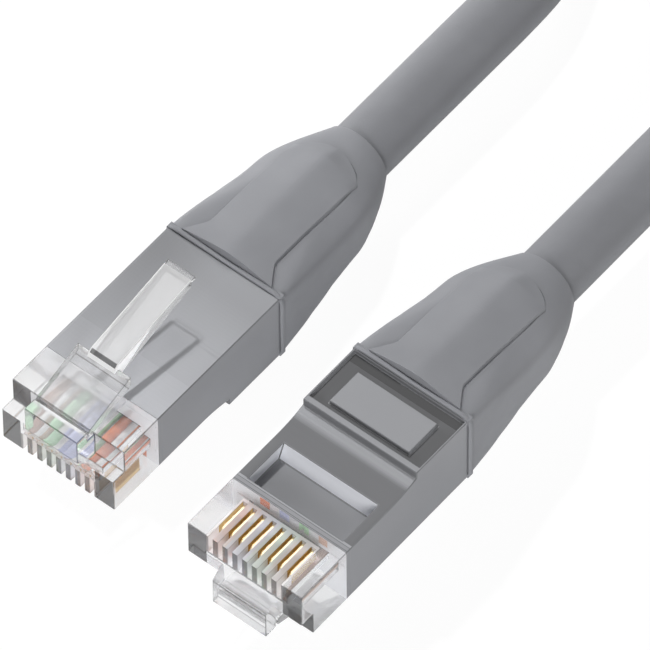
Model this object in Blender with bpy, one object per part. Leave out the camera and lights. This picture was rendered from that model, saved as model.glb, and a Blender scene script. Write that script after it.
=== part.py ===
"""Ethernet patch cable: two eight-way modular plugs with moulded boots on one round cord.

Each plug is built in a frame of its own: x runs from the nose toward the cord, y across the contacts
and z from the contact face toward the latch face. The plugs lie side by side on the ground, the first
with its latch up and the second turned over, and the rest of the cord is wound into a coil behind them.
"""

import math

import bmesh
import bpy
from mathutils import Matrix, Vector

# Housing
PLUG_WIDTH = 0.01168
PLUG_HEIGHT = 0.00635
HOUSING_LENGTH = 0.02145
LEDGE_DEPTH = 0.0014
LEDGE_HEIGHT = 0.00377
RAMP_LENGTH = 0.0032
RAMP_DROP = 0.00051
RIDGE_AT = 0.0145
RIDGE_DROP = 0.00121
RIDGE_WIDTH = 0.0006
PANEL_DEPTH = 0.0004
PANEL_RIM = 0.0002
PAD_GAP_FRONT = 0.0006
PAD_GAP_BACK = 0.0015
PAD_WIDTH = 0.0082
POCKET_START = 0.0064
POCKET_LENGTH = 0.0045
POCKET_WIDTH = 0.0097
POCKET_DEPTH = 0.0015
POCKET_SLANT = 0.0007
WALL = 0.0005
CAVITY_START = 0.0056
CAVITY_STEP_AT = 0.0097
CAVITY_STEP = 0.0007
MOULD_GAP = 0.00006

# Contacts and wires
CONTACT_COUNT = 8
CONTACT_PITCH = 0.001
CONTACT_THICKNESS = 0.0003
CONTACT_START = 0.00135
CONTACT_LENGTH = 0.003
CONTACT_SINK = 0.0003
CONTACT_ROUND = 0.0005
TOOTH_LENGTH = 0.0006
TOOTH_WIDTH = 0.0009
TOOTH_BITE = 0.0004
NOTCH_GAP = 0.00006
SLOT_GAP = 0.00006
WIRE_DIAMETER = 0.00086
WIRE_SIDES = 12
WIRE_LEVEL = 0.00255
WIRE_START = 0.00095
WIRE_GAP = 0.00012
WIRE_FLAT_RUN = 0.001
STAGGER_LENGTH = 0.0026
FAN_LENGTH = 0.0036
ROW_SPACING = 0.0011
COLUMN_SPACING = 0.00115

# Latch
HINGE_AT = 0.0011
HINGE_RISE = 0.00055
KNUCKLE_RADIUS = 0.00045
HINGE_GAP = 0.0001
LATCH_WIDTH = 0.0055
LEVER_WIDTH = 0.00285
SHOULDER_AT = 0.00608
SHOULDER_RISE = 0.0026
SHOULDER_THICKNESS = 0.00125
LEVER_STEP = 0.0005
LEVER_OVERLAP = 0.0005
LEVER_HEEL = 0.0003
LEVER_ROOT_THICKNESS = 0.0015
LEVER_TIP_THICKNESS = 0.0008
LATCH_TIP_AT = 0.01534
LATCH_TIP_RISE = 0.00476
LIP_LENGTH = 0.00055
LIP_THICKNESS = 0.0003
ROOT_REACH = 0.00075
ROOT_RISE = 0.00092
ROOT_DROP = 0.0019
ROOT_SETBACK = 0.0001

# Boot
SOCKET_DEPTH = 0.0005
SOCKET_GAP = 0.0001
FLANGE_MARGIN = 0.00028
FLANGE_THICKNESS = 0.00045
FLANGE_STEP = 0.00012
FLANGE_ROUND = 0.00008
BOOT_LENGTH = 0.01715
BOOT_TAPER = 0.00108
BOOT_BELLY_RISE = 0.00065
BOOT_END_RADIUS = 0.00316
BOOT_END_ROUND = 0.00006
BOOT_CLOSING_FROM = 0.62
SHOULDER_CUT = 0.4
SHOULDER_CUT_START = 0.07
SHOULDER_CUT_FROM = 0.58
ROOF_RISE = 0.00088
ROOF_EDGE = 0.0002
ROOF_WIDTH = 0.0068
ROOF_FRONT_WIDTH = 0.0095
ROOF_NARROWING = 0.002
ROOF_LENGTH = 0.0126
ROOF_END_ARC = 0.0016
ROOF_ROOT = 0.0012
CORNER_SHARPNESS = 30
END_SHARPNESS = 14
RING_SIDE_POINTS = 12

# Cord
CORD_DIAMETER = 0.0057
CABLE_LEVEL = 0.0031
JACKET_PRESS = 0.0006
JACKET_SWELL_LENGTH = 0.002
BORE_GAP = 0.00012
CABLE_SPLIT_BACK = 0.008
FACE_GAP = 0.0003
PLUG_SPACING = 0.02113
PLUG_LEAD = 0.00203
COIL_NEAR_X = 0.048
COIL_RADIUS = 0.026
COIL_STEP = 0.006
COIL_STRAIGHT = 0.0242
COIL_LAYER = 0.00625
COIL_ENTRY = math.radians(36.87)
POINTS_PER_LOOP = 24
CORD_ROUNDS = 3
LEAD_END_RUN = 0.003
LEAD_POINT_SPACING = 0.004
TIE_X = 0.082
TIE_WIDTH = 0.004
TIE_GAP = 0.00045
TIE_THICKNESS = 0.0006

# Overlap that a cut or a join is given past the faces it meets, and the least angle of a sharp edge
JOIN = 0.00015
SHARP_ANGLE = math.radians(30)

WIRE_NAMES = (
    "brown", "white_brown", "green", "white_blue", "blue", "white_green", "orange", "white_orange",
)
WIRE_COLOURS = {
    "brown": (0.22, 0.09, 0.04),
    "white_brown": (0.62, 0.50, 0.42),
    "green": (0.03, 0.25, 0.08),
    "white_green": (0.52, 0.68, 0.54),
    "blue": (0.03, 0.08, 0.42),
    "white_blue": (0.50, 0.56, 0.74),
    "orange": (0.70, 0.20, 0.02),
    "white_orange": (0.80, 0.58, 0.40),
}

# Free stretches of the cord, by hand: from inside each boot to where the coil begins
LEAD_A_ROUTE = (
    (0.0125, 0.0, 0.0), (0.0200, 0.0, 0.0), (0.0280, 0.0, 0.0), (0.0350, 0.0, 0.0),
    (0.0400, 0.0001, -0.0002), (0.0450, 0.0007, -0.0009), (0.0500, 0.0024, -0.0019),
)
LEAD_B_ROUTE = (
    (0.0105, 0.0, 0.0), (0.0190, 0.0, 0.0), (0.0280, 0.0, 0.0), (0.0350, 0.0, 0.0),
    (0.0400, -0.0001, 0.0001), (0.0450, -0.0007, 0.0004), (0.0500, -0.0024, 0.0008),
)

boot_start = HOUSING_LENGTH - SOCKET_DEPTH
boot_end = boot_start + BOOT_LENGTH
body_start = boot_start + FLANGE_THICKNESS
flange_half = PLUG_WIDTH / 2 + FLANGE_MARGIN
boot_top = PLUG_HEIGHT + FLANGE_MARGIN - FLANGE_STEP
boot_bottom = -RIDGE_DROP - FLANGE_MARGIN + FLANGE_STEP
cord_radius = CORD_DIAMETER / 2
cable_split = boot_end - CABLE_SPLIT_BACK
stagger_start = CAVITY_START + WIRE_FLAT_RUN
fan_start = stagger_start + STAGGER_LENGTH
fan_end = fan_start + FAN_LENGTH
hinge_level = PLUG_HEIGHT + HINGE_RISE
plug_reach = ROOT_REACH + boot_end + PLUG_LEAD
plug_a_x = plug_reach / 2 - boot_end
plug_b_x = plug_a_x - PLUG_LEAD
plug_y = PLUG_SPACING / 2
plug_a_z = ROOF_RISE - boot_bottom
plug_b_z = PLUG_HEIGHT + LATCH_TIP_RISE
cord_a = Vector((0.0, plug_y, plug_a_z + CABLE_LEVEL))
cord_b = Vector((0.0, -plug_y, plug_b_z - CABLE_LEVEL))


def material(name, colour, roughness, metallic=0.0, alpha=1.0):
    made = bpy.data.materials.new(name)
    made.use_nodes = True
    shader = made.node_tree.nodes["Principled BSDF"]
    shader.inputs["Base Color"].default_value = (*colour, 1.0)
    shader.inputs["Roughness"].default_value = roughness
    shader.inputs["Metallic"].default_value = metallic
    shader.inputs["Alpha"].default_value = alpha
    return made


def mesh_object(name, shape, look=None, parent=None, origin=(0, 0, 0)):
    """Turns a bmesh into a smooth-shaded object with its origin at a place in the parent's frame."""
    bmesh.ops.recalc_face_normals(shape, faces=shape.faces)
    bmesh.ops.translate(shape, verts=shape.verts, vec=-Vector(origin))
    mesh = bpy.data.meshes.new(name)
    shape.to_mesh(mesh)
    shape.free()
    mesh.shade_smooth()
    mesh.set_sharp_from_angle(angle=SHARP_ANGLE)
    made = bpy.data.objects.new(name, mesh)
    made.location = origin
    made.parent = parent
    if look:
        mesh.materials.append(look)
    bpy.context.scene.collection.objects.link(made)
    return made


def loft(rings):
    """A closed skin through rings of equal length, with flat ends."""
    shape = bmesh.new()
    skins = [[shape.verts.new(point) for point in ring] for ring in rings]
    for near, far in zip(skins, skins[1:]):
        for i in range(len(near)):
            j = (i + 1) % len(near)
            shape.faces.new((near[i], near[j], far[j], far[i]))
    shape.faces.new(skins[0])
    shape.faces.new(skins[-1])
    return shape


def prism(outline, half_width, middle=0.0):
    """A side outline in x and z drawn out across the plug."""
    sides = (middle - half_width, middle + half_width)
    return loft([[(x, y, z) for x, z in outline] for y in sides])


def box(x_range, half_width, z_range):
    (x0, x1), (z0, z1) = x_range, z_range
    return prism([(x0, z0), (x1, z0), (x1, z1), (x0, z1)], half_width)


def disc(x, level, radius, count, middle=0.0):
    turns = [2 * math.pi * i / count for i in range(count)]
    return [(x, middle + radius * math.cos(turn), level + radius * math.sin(turn)) for turn in turns]


def rod(x_range, level, radius, count=24):
    return loft([disc(x, level, radius, count) for x in x_range])


def jacket_shape(start, end, gap):
    """The cord inside a plug: pressed flat where the housing grips it, and round inside the boot."""
    rings = []
    grip_end = HOUSING_LENGTH - 2 * JOIN
    for x, press in ((start, 1), (grip_end, 1), (HOUSING_LENGTH + JACKET_SWELL_LENGTH, 0), (end, 0)):
        flat = 1 - press * JACKET_PRESS / cord_radius
        ring = disc(x, 0, cord_radius, 24)
        grown = 1 + gap / cord_radius
        rings.append([(x, y * grown, CABLE_LEVEL + z * flat + gap * z / cord_radius) for _, y, z in ring])
    return loft(rings)


def shape_with(target, tool, operation):
    """Cuts a hidden tool out of the target, or joins it on."""
    tool.hide_render = True
    tool.display_type = "WIRE"
    step = target.modifiers.new(tool.name, "BOOLEAN")
    step.operation = operation
    step.solver = "EXACT"
    step.object = tool


def tube(name, points, diameter, look):
    path = bpy.data.curves.new(name, "CURVE")
    path.dimensions = "3D"
    path.bevel_depth = diameter / 2
    path.bevel_resolution = CORD_ROUNDS
    path.use_fill_caps = True
    line = path.splines.new("POLY")
    line.points.add(len(points) - 1)
    for slot, point in zip(line.points, points):
        slot.co = (*point, 1.0)
    path.materials.append(look)
    bpy.context.scene.collection.objects.link(bpy.data.objects.new(name, path))


def ease(share):
    share = min(max(share, 0.0), 1.0)
    return share * share * (3 - 2 * share)


def smooth_route(route, spacing):
    """Points along a smooth curve through the route, about evenly spaced."""
    stops = [Vector(stop) for stop in route]
    padded = [2 * stops[0] - stops[1], *stops, 2 * stops[-1] - stops[-2]]
    points = [stops[0]]
    for before, start, end, after in zip(padded, padded[1:], padded[2:], padded[3:]):
        count = max(1, round((end - start).length / spacing))
        for i in range(1, count + 1):
            t = i / count
            bend = (end - before) * t + (2 * before - 5 * start + 4 * end - after) * t**2
            bend += (3 * start - before - 3 * end + after) * t**3
            points.append(start + bend / 2)
    return points


def cavity_outline(gap, end):
    """The hollow behind the nose, from the side, drawn in by a gap for the moulding that fills it."""
    pocket_end = POCKET_START + POCKET_LENGTH + WALL
    pocket_roof = POCKET_DEPTH + WALL
    ramp_end = RIDGE_AT + RIDGE_WIDTH
    panel_floor = -RIDGE_DROP + PANEL_DEPTH + WALL
    roof = PLUG_HEIGHT - WALL
    low_roof = roof - CAVITY_STEP
    return [
        (CAVITY_START + gap, pocket_roof + gap),
        (pocket_end + gap, pocket_roof + gap),
        (pocket_end + gap, WALL + gap),
        (ramp_end + gap, WALL - RAMP_DROP + gap),
        (ramp_end + gap, panel_floor + gap),
        (end, panel_floor + gap),
        (end, roof - gap),
        (CAVITY_STEP_AT + gap, roof - gap),
        (CAVITY_STEP_AT + gap, low_roof - gap),
        (CAVITY_START + gap, low_roof - gap),
    ]


def contact_places():
    middle = (CONTACT_COUNT - 1) / 2
    return [(middle - i) * CONTACT_PITCH for i in range(CONTACT_COUNT)]


def make_housing(tag, parent, look):
    ramp_start = RIDGE_AT - RAMP_LENGTH
    ramp = [(ramp_start + RAMP_LENGTH * s / 5, -RAMP_DROP * (s / 5) ** 2) for s in range(6)]
    outline = [
        (0, 0),
        *ramp,
        (RIDGE_AT, -RIDGE_DROP),
        (HOUSING_LENGTH, -RIDGE_DROP),
        (HOUSING_LENGTH, PLUG_HEIGHT),
        (LEDGE_DEPTH, PLUG_HEIGHT),
        (LEDGE_DEPTH, LEDGE_HEIGHT),
        (0, LEDGE_HEIGHT),
    ]
    housing = mesh_object(f"housing_{tag}", prism(outline, PLUG_WIDTH / 2), look, parent)

    def tool(name, shape, operation="DIFFERENCE"):
        shape_with(housing, mesh_object(f"{name}_{tag}", shape, None, parent), operation)

    root_back = HINGE_AT - KNUCKLE_RADIUS - HINGE_GAP
    root = [
        (-ROOT_REACH, PLUG_HEIGHT - ROOT_DROP),
        (ROOT_SETBACK, LEDGE_HEIGHT - JOIN),
        (LEDGE_DEPTH + JOIN, LEDGE_HEIGHT - JOIN),
        (LEDGE_DEPTH + JOIN, PLUG_HEIGHT - JOIN),
        (root_back, PLUG_HEIGHT - JOIN),
        (root_back, PLUG_HEIGHT + ROOT_RISE),
        (-ROOT_REACH, PLUG_HEIGHT + ROOT_RISE),
    ]
    tool("latch_root", prism(root, LATCH_WIDTH / 2), "UNION")
    panel_start = RIDGE_AT + RIDGE_WIDTH
    panel_floor = -RIDGE_DROP + PANEL_DEPTH
    panel_end = boot_start - SOCKET_GAP
    outside = -RIDGE_DROP - 2 * JOIN
    tool("panel", box((panel_start, panel_end), PLUG_WIDTH / 2 - PANEL_RIM, (outside, panel_floor)))
    pad = (panel_start + PAD_GAP_FRONT, panel_end - PAD_GAP_BACK)
    tool("blank_pad", box(pad, PAD_WIDTH / 2, (-RIDGE_DROP, panel_floor + JOIN)), "UNION")
    tool("cavity", prism(cavity_outline(0, HOUSING_LENGTH + JOIN), PLUG_WIDTH / 2 - WALL))
    wire_room = WIRE_DIAMETER / 2 + WIRE_GAP
    wire_levels = (WIRE_LEVEL - wire_room, WIRE_LEVEL + wire_room)
    wire_half = (CONTACT_COUNT - 1) / 2 * CONTACT_PITCH + wire_room
    tool("wire_slot", box((WIRE_START - WIRE_GAP, CAVITY_START + JOIN), wire_half, wire_levels))
    pocket_end = POCKET_START + POCKET_LENGTH
    pocket = [
        (POCKET_START, -JOIN),
        (pocket_end + POCKET_SLANT * JOIN / POCKET_DEPTH, -JOIN),
        (pocket_end - POCKET_SLANT, POCKET_DEPTH),
        (POCKET_START, POCKET_DEPTH),
    ]
    tool("pocket", prism(pocket, POCKET_WIDTH / 2))
    slot_end = CONTACT_START + CONTACT_LENGTH + SLOT_GAP
    slot_top = wire_levels[0] + JOIN
    slot = [(-JOIN, -JOIN), (slot_end, -JOIN), (slot_end, slot_top), (-JOIN, slot_top)]
    for number, place in enumerate(contact_places(), start=1):
        tool(f"contact_slot_{number}", prism(slot, CONTACT_THICKNESS / 2 + SLOT_GAP, place))


def teeth(gap):
    """A blade's two teeth from the side, drawn out by a gap for the notches that they sit in."""
    reach = WIRE_LEVEL - WIRE_DIAMETER / 2
    tip = reach + TOOTH_BITE + 2 * gap
    points = []
    for middle in (CONTACT_START + CONTACT_LENGTH - TOOTH_WIDTH / 2, CONTACT_START + TOOTH_WIDTH / 2):
        for x, level in ((1, reach - TOOTH_LENGTH), (0, tip), (-1, reach - TOOTH_LENGTH)):
            points.append((middle + x * (TOOTH_WIDTH / 2 + gap), level))
    return points


def make_contacts(tag, parent, look):
    nose = []
    for i in range(4):
        turn = math.pi + math.pi / 2 * i / 3
        nose.append((
            CONTACT_START + CONTACT_ROUND * (1 + math.cos(turn)),
            CONTACT_SINK + CONTACT_ROUND * (1 + math.sin(turn)),
        ))
    outline = [*nose, (CONTACT_START + CONTACT_LENGTH, CONTACT_SINK), *teeth(0)]
    for number, place in enumerate(contact_places(), start=1):
        mesh_object(f"contact_{tag}{number}", prism(outline, CONTACT_THICKNESS / 2, place), look, parent)


def make_wires(tag, parent, looks):
    """Eight wires, notched by the contacts that bite them: in a flat row, then in two rows that close up."""
    stops = [WIRE_START, (WIRE_START + stagger_start) / 2]
    stops += [stagger_start + STAGGER_LENGTH * i / 4 for i in range(5)]
    stops += [fan_start + (FAN_LENGTH - WIRE_GAP) * i / 5 for i in range(1, 6)]
    notches = teeth(NOTCH_GAP)
    notches += [(notches[-1][0], CONTACT_SINK), (notches[0][0], CONTACT_SINK)]
    for i, (place, name) in enumerate(zip(contact_places(), WIRE_NAMES)):
        column = (1.5 - i // 2) * COLUMN_SPACING
        row = CABLE_LEVEL + (0.5 - i % 2) * ROW_SPACING
        rings = []
        for x in stops:
            raised = ease((x - stagger_start) / STAGGER_LENGTH)
            gathered = ease((x - fan_start) / (FAN_LENGTH - 2 * WIRE_GAP))
            y = place + (column - place) * gathered
            level = WIRE_LEVEL + (row - WIRE_LEVEL) * raised
            rings.append(disc(x, level, WIRE_DIAMETER / 2, WIRE_SIDES, y))
        wire = mesh_object(f"wire_{tag}_{name}", loft(rings), looks[name], parent)
        cutter = prism(notches, CONTACT_THICKNESS / 2 + NOTCH_GAP, place)
        shape_with(wire, mesh_object(f"notches_{tag}_{name}", cutter, None, parent), "DIFFERENCE")


def make_inner_mould(tag, parent, look):
    outline = cavity_outline(MOULD_GAP, HOUSING_LENGTH - MOULD_GAP)
    half_width = PLUG_WIDTH / 2 - WALL - MOULD_GAP
    mould = mesh_object(f"inner_mould_{tag}", prism(outline, half_width), look, parent)
    room = WIRE_DIAMETER / 2 + WIRE_GAP
    wide = (CONTACT_COUNT - 1) / 2 * CONTACT_PITCH + room
    narrow = 1.5 * COLUMN_SPACING + room
    rows = ROW_SPACING / 2 + room
    stations = [
        (CAVITY_START - JOIN, wide, WIRE_LEVEL - room, WIRE_LEVEL + room),
        (stagger_start - JOIN, wide, WIRE_LEVEL - room, WIRE_LEVEL + room),
        (stagger_start + STAGGER_LENGTH * 0.4, wide, CABLE_LEVEL - rows, CABLE_LEVEL + rows),
        (fan_end - FAN_LENGTH * 0.6, wide, CABLE_LEVEL - rows, CABLE_LEVEL + rows),
        (fan_end - FAN_LENGTH * 0.15, narrow, CABLE_LEVEL - rows, CABLE_LEVEL + rows),
        (fan_end + 2 * JOIN, narrow, CABLE_LEVEL - rows, CABLE_LEVEL + rows),
    ]
    rings = [[(x, -y, low), (x, y, low), (x, y, high), (x, -y, high)] for x, y, low, high in stations]
    shape_with(mould, mesh_object(f"wire_tunnel_{tag}", loft(rings), None, parent), "DIFFERENCE")
    bore = jacket_shape(fan_end, boot_end, BORE_GAP)
    shape_with(mould, mesh_object(f"jacket_bore_{tag}", bore, None, parent), "DIFFERENCE")


def make_latch(tag, parent, look):
    knuckle = []
    for i in range(7):
        turn = math.pi / 2 + math.pi * i / 6
        knuckle.append((
            HINGE_AT + KNUCKLE_RADIUS * math.cos(turn),
            hinge_level + KNUCKLE_RADIUS * math.sin(turn),
        ))
    shoulder = PLUG_HEIGHT + SHOULDER_RISE
    platform = [
        *knuckle,
        (SHOULDER_AT - LEVER_HEEL, shoulder - SHOULDER_THICKNESS),
        (SHOULDER_AT, shoulder - SHOULDER_THICKNESS + LEVER_HEEL),
        (SHOULDER_AT, shoulder),
    ]
    origin = (HINGE_AT, 0, hinge_level)
    latch = mesh_object(f"latch_{tag}", prism(platform, LATCH_WIDTH / 2), look, parent, origin)
    tip = PLUG_HEIGHT + LATCH_TIP_RISE
    top = shoulder + LEVER_STEP
    lever = [
        (SHOULDER_AT - LEVER_OVERLAP, shoulder - SHOULDER_THICKNESS + JOIN),
        (SHOULDER_AT + LEVER_HEEL, top - LEVER_ROOT_THICKNESS),
        (LATCH_TIP_AT, tip - LEVER_TIP_THICKNESS),
        (LATCH_TIP_AT, tip - LIP_THICKNESS),
        (LATCH_TIP_AT + LIP_LENGTH, tip - LIP_THICKNESS),
        (LATCH_TIP_AT + LIP_LENGTH, tip - LIP_THICKNESS / 6),
        (LATCH_TIP_AT, tip),
        (SHOULDER_AT, top),
        (SHOULDER_AT - LEVER_HEEL, shoulder + LEVER_STEP / 2),
        (SHOULDER_AT - LEVER_OVERLAP, shoulder - JOIN),
    ]
    shape_with(latch, mesh_object(f"lever_{tag}", prism(lever, LEVER_WIDTH / 2), None, parent), "UNION")


def section(u, v, form):
    """A point on a cross-section: a box with cut and softened corners that turns into a circle."""
    half_width, bottom, top, cut, sharpness, roundness = form
    corner = (abs(u) + abs(v)) / (2 - cut)
    boxy = (abs(u) ** sharpness + abs(v) ** sharpness + corner**sharpness) ** (1 / sharpness)
    reach = (1 - roundness) * boxy + roundness * math.hypot(u, v)
    return half_width * u / reach, (top + bottom) / 2 + (top - bottom) / 2 * v / reach


def boot_ring(x, form):
    points = []
    for side in range(4):
        for i in range(RING_SIDE_POINTS):
            along = 2 * i / RING_SIDE_POINTS - 1
            u, v = ((1, along), (-along, 1), (-1, -along), (along, -1))[side]
            points.append((x, *section(u, v, form)))
    return points


def level_across(y, side, form):
    """Height of a cross-section's top or belly at a distance from its middle."""
    low, high = 0.0, 1.0
    for _ in range(30):
        middle = (low + high) / 2
        if section(middle, side, form)[0] < y:
            low = middle
        else:
            high = middle
    return section(low, side, form)[1]


def boot_levels(x):
    """Half width, bottom and top of the boot's body at a distance from the nose."""
    share = (x - body_start) / (boot_end - body_start)
    closing = max(0.0, (share - BOOT_CLOSING_FROM) / (1 - BOOT_CLOSING_FROM)) ** 2
    half_start = flange_half - FLANGE_STEP
    half = half_start - BOOT_TAPER * share
    half -= (half_start - BOOT_TAPER - BOOT_END_RADIUS) * closing
    bottom = boot_bottom + BOOT_BELLY_RISE * share
    bottom += (CABLE_LEVEL - BOOT_END_RADIUS - boot_bottom - BOOT_BELLY_RISE) * closing
    top = boot_top + (CABLE_LEVEL + BOOT_END_RADIUS - boot_top) * closing
    return half, bottom, top


def boot_form(x):
    share = (x - body_start) / (boot_end - body_start)
    cut = SHOULDER_CUT_START + (SHOULDER_CUT - SHOULDER_CUT_START) * ease(share / SHOULDER_CUT_FROM)
    sharpness = CORNER_SHARPNESS + (END_SHARPNESS - CORNER_SHARPNESS) * ease(share)
    roundness = ease((share - BOOT_CLOSING_FROM) / (1 - BOOT_CLOSING_FROM))
    return *boot_levels(x), cut, sharpness, roundness


def roof_shape(side):
    """The raised panel on the top or the belly of the boot: a gable in front, a hip behind, an even edge."""
    straight_end = body_start + ROOF_LENGTH
    half = ROOF_WIDTH / 2
    arc_radius = (half**2 + ROOF_END_ARC**2) / (2 * ROOF_END_ARC)
    arc_middle = straight_end + ROOF_END_ARC - arc_radius
    stations = [(body_start - FLANGE_THICKNESS / 2, ROOF_FRONT_WIDTH / 2, ROOF_RISE)]
    stations += [(body_start + ROOF_NARROWING, half, ROOF_RISE)]
    for share in (0.25, 0.35, 0.45, 0.55, 0.65, 0.75, 0.85, 0.93):
        stations.append((body_start + ROOF_LENGTH * share, half, ROOF_RISE))
    for share in (0, 0.3, 0.55, 0.75, 0.9, 0.98):
        x = straight_end + ROOF_END_ARC * share
        width = math.sqrt(arc_radius**2 - (x - arc_middle) ** 2)
        stations.append((x, width, ROOF_RISE + (ROOF_EDGE - ROOF_RISE) * share))
    rings = []
    for x, width, rise in stations:
        form = boot_form(max(x, body_start))
        foot = level_across(width, side, form)
        root, edge = foot - side * ROOF_ROOT, foot + side * ROOF_EDGE
        ridge = level_across(0, side, form) + side * rise
        gable = ((-width, root), (width, root), (width, edge), (0, ridge), (-width, edge))
        rings.append([(x, y, z) for y, z in gable])
    return loft(rings)


def make_boot(tag, parent, look):
    low, high = -RIDGE_DROP - FLANGE_MARGIN, PLUG_HEIGHT + FLANGE_MARGIN
    rings = []
    for x, inset in (
        (boot_start, FLANGE_ROUND),
        (boot_start + FLANGE_ROUND, 0),
        (body_start - FLANGE_ROUND, 0),
        (body_start, FLANGE_ROUND),
    ):
        levels = (flange_half - inset, low + inset, high - inset)
        rings.append(boot_ring(x, (*levels, SHOULDER_CUT_START, CORNER_SHARPNESS, 0)))
    run = boot_end - BOOT_END_ROUND - body_start
    for share in (0, 0.06, 0.12, 0.2, 0.27, 0.35, 0.43, 0.5, 0.62, 0.7, 0.77, 0.83, 0.88, 0.925, 0.965, 1):
        x = body_start + run * share
        rings.append(boot_ring(x, boot_form(x)))
    lip = BOOT_END_RADIUS - BOOT_END_ROUND
    rings.append(boot_ring(boot_end, (lip, CABLE_LEVEL - lip, CABLE_LEVEL + lip, 0, END_SHARPNESS, 1)))
    boot = mesh_object(f"boot_{tag}", loft(rings), look, parent)
    for name, side in (("roof", 1), ("belly", -1)):
        shape_with(boot, mesh_object(f"boot_{name}_{tag}", roof_shape(side), None, parent), "UNION")
    levels = (-RIDGE_DROP - SOCKET_GAP, PLUG_HEIGHT + SOCKET_GAP)
    reach = (boot_start - JOIN, HOUSING_LENGTH + SOCKET_GAP)
    socket = box(reach, PLUG_WIDTH / 2 + SOCKET_GAP, levels)
    shape_with(boot, mesh_object(f"socket_{tag}", socket, None, parent), "DIFFERENCE")
    bore = rod((HOUSING_LENGTH - JOIN, boot_end + JOIN), CABLE_LEVEL, cord_radius + BORE_GAP)
    shape_with(boot, mesh_object(f"boot_bore_{tag}", bore, None, parent), "DIFFERENCE")


def make_plug(tag, place, turned, looks):
    frame = bpy.data.objects.new(f"plug_{tag}", None)
    frame.matrix_world = Matrix.Translation(place) @ Matrix.Rotation(math.pi if turned else 0, 4, "X")
    bpy.context.scene.collection.objects.link(frame)
    make_housing(tag, frame, looks["clear"])
    make_contacts(tag, frame, looks["gold"])
    make_wires(tag, frame, looks)
    make_inner_mould(tag, frame, looks["mould"])
    make_latch(tag, frame, looks["clear"])
    make_boot(tag, frame, looks["boot"])
    stub = jacket_shape(fan_end + FACE_GAP, cable_split, 0)
    mesh_object(f"cable_end_{tag}", stub, looks["jacket"], frame)


def coil_route():
    """One unbroken tube: spirals in on the ground, climbs a layer in half a turn, spirals out on top."""
    entry = math.pi / 2 + COIL_ENTRY
    whole = 2 * entry + 2 * math.pi
    outward = whole - 2 * math.pi
    near_middle = COIL_NEAR_X + COIL_RADIUS + cord_radius
    steps = round(whole / (2 * math.pi) * POINTS_PER_LOOP)
    turns = {whole * i / steps for i in range(steps + 1)}
    quarter_turns = [entry - math.pi / 2 + math.pi * i for i in range(4)]
    stops = [(turn, None) for turn in turns if min(abs(turn - q) for q in quarter_turns) > 0.02]
    stops += [(turn, part) for turn in quarter_turns for part in (0.0, 0.25, 0.5, 0.75, 1.0)]
    flat = []
    for turn, part in sorted(stops, key=lambda stop: (stop[0], stop[1] or 0)):
        radius = COIL_RADIUS - COIL_STEP
        if turn < math.pi:
            radius = COIL_RADIUS - COIL_STEP * turn / math.pi
        elif turn > 2 * math.pi:
            radius += COIL_STEP * (turn - 2 * math.pi) / outward
        passed = sum(turn > q for q in quarter_turns)
        far_side = passed % 2
        if part is not None:
            far_side = part if passed % 2 == 0 else 1 - part
        angle = entry - turn
        x = near_middle + COIL_STRAIGHT * far_side + radius * math.cos(angle)
        flat.append((turn, Vector((x, radius * math.sin(angle), cord_radius))))
    gone = [0.0]
    for (_, before), (_, after) in zip(flat, flat[1:]):
        gone.append(gone[-1] + (after - before).length)
    climb = [along for (turn, _), along in zip(flat, gone) if math.pi - 0.01 < turn < 2 * math.pi + 0.01]
    points = []
    for (_, point), along in zip(flat, gone):
        share = min(max((along - climb[0]) / (climb[-1] - climb[0]), 0.0), 1.0)
        points.append(point + Vector((0, 0, COIL_LAYER * (1 - math.cos(math.pi * share)) / 2)))
    heading = Vector((math.cos(COIL_ENTRY), math.sin(COIL_ENTRY), 0))
    leaving = Vector((-heading.x, heading.y, 0))
    return [points[0] - heading * CORD_DIAMETER, *points, points[-1] + leaving * CORD_DIAMETER]


def least_gap(points, diameter):
    """Least clear gap between stretches of a tube that are not neighbours along it."""
    gone = [0.0]
    for before, after in zip(points, points[1:]):
        gone.append(gone[-1] + (after - before).length)
    marks = []
    for start, end, along in zip(points, points[1:], gone):
        for i in range(6):
            marks.append((along + (end - start).length * i / 6, start.lerp(end, i / 6)))
    least = math.inf
    for i, (along, point) in enumerate(marks):
        for other_along, other in marks[i + 1:]:
            if other_along - along > 4 * diameter:
                least = min(least, (other - point).length)
    return least - diameter


def make_cord(looks):
    wound = coil_route()
    tube("cable_coil", wound, CORD_DIAMETER, looks["jacket"])
    leads = []
    for tag, base, route, joint, inside in (
        ("a", cord_a, LEAD_A_ROUTE, wound[0], wound[1]),
        ("b", cord_b, LEAD_B_ROUTE, wound[-1], wound[-2]),
    ):
        away = (joint - inside).normalized()
        stops = [base + Vector(stop) for stop in route]
        stops += [joint + away * (FACE_GAP + LEAD_END_RUN), joint + away * FACE_GAP]
        stops[0].x = (plug_a_x if tag == "a" else plug_b_x) + cable_split + FACE_GAP
        points = smooth_route(stops, LEAD_POINT_SPACING)
        tube(f"cable_lead_{tag}", points, CORD_DIAMETER, looks["jacket"])
        leads.append(points)
    length = sum((b - a).length for line in (*leads, wound) for a, b in zip(line, line[1:]))
    overall = length - 2 * CABLE_SPLIT_BACK + 2 * (boot_end + ROOT_REACH)
    print(f"cord {length * 1000:.1f} mm, nose to nose {overall * 1000:.1f} mm")
    print(f"least gap in the coil {least_gap(wound, CORD_DIAMETER) * 1000:.2f} mm")
    make_tie(wound, looks["tie"])


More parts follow.
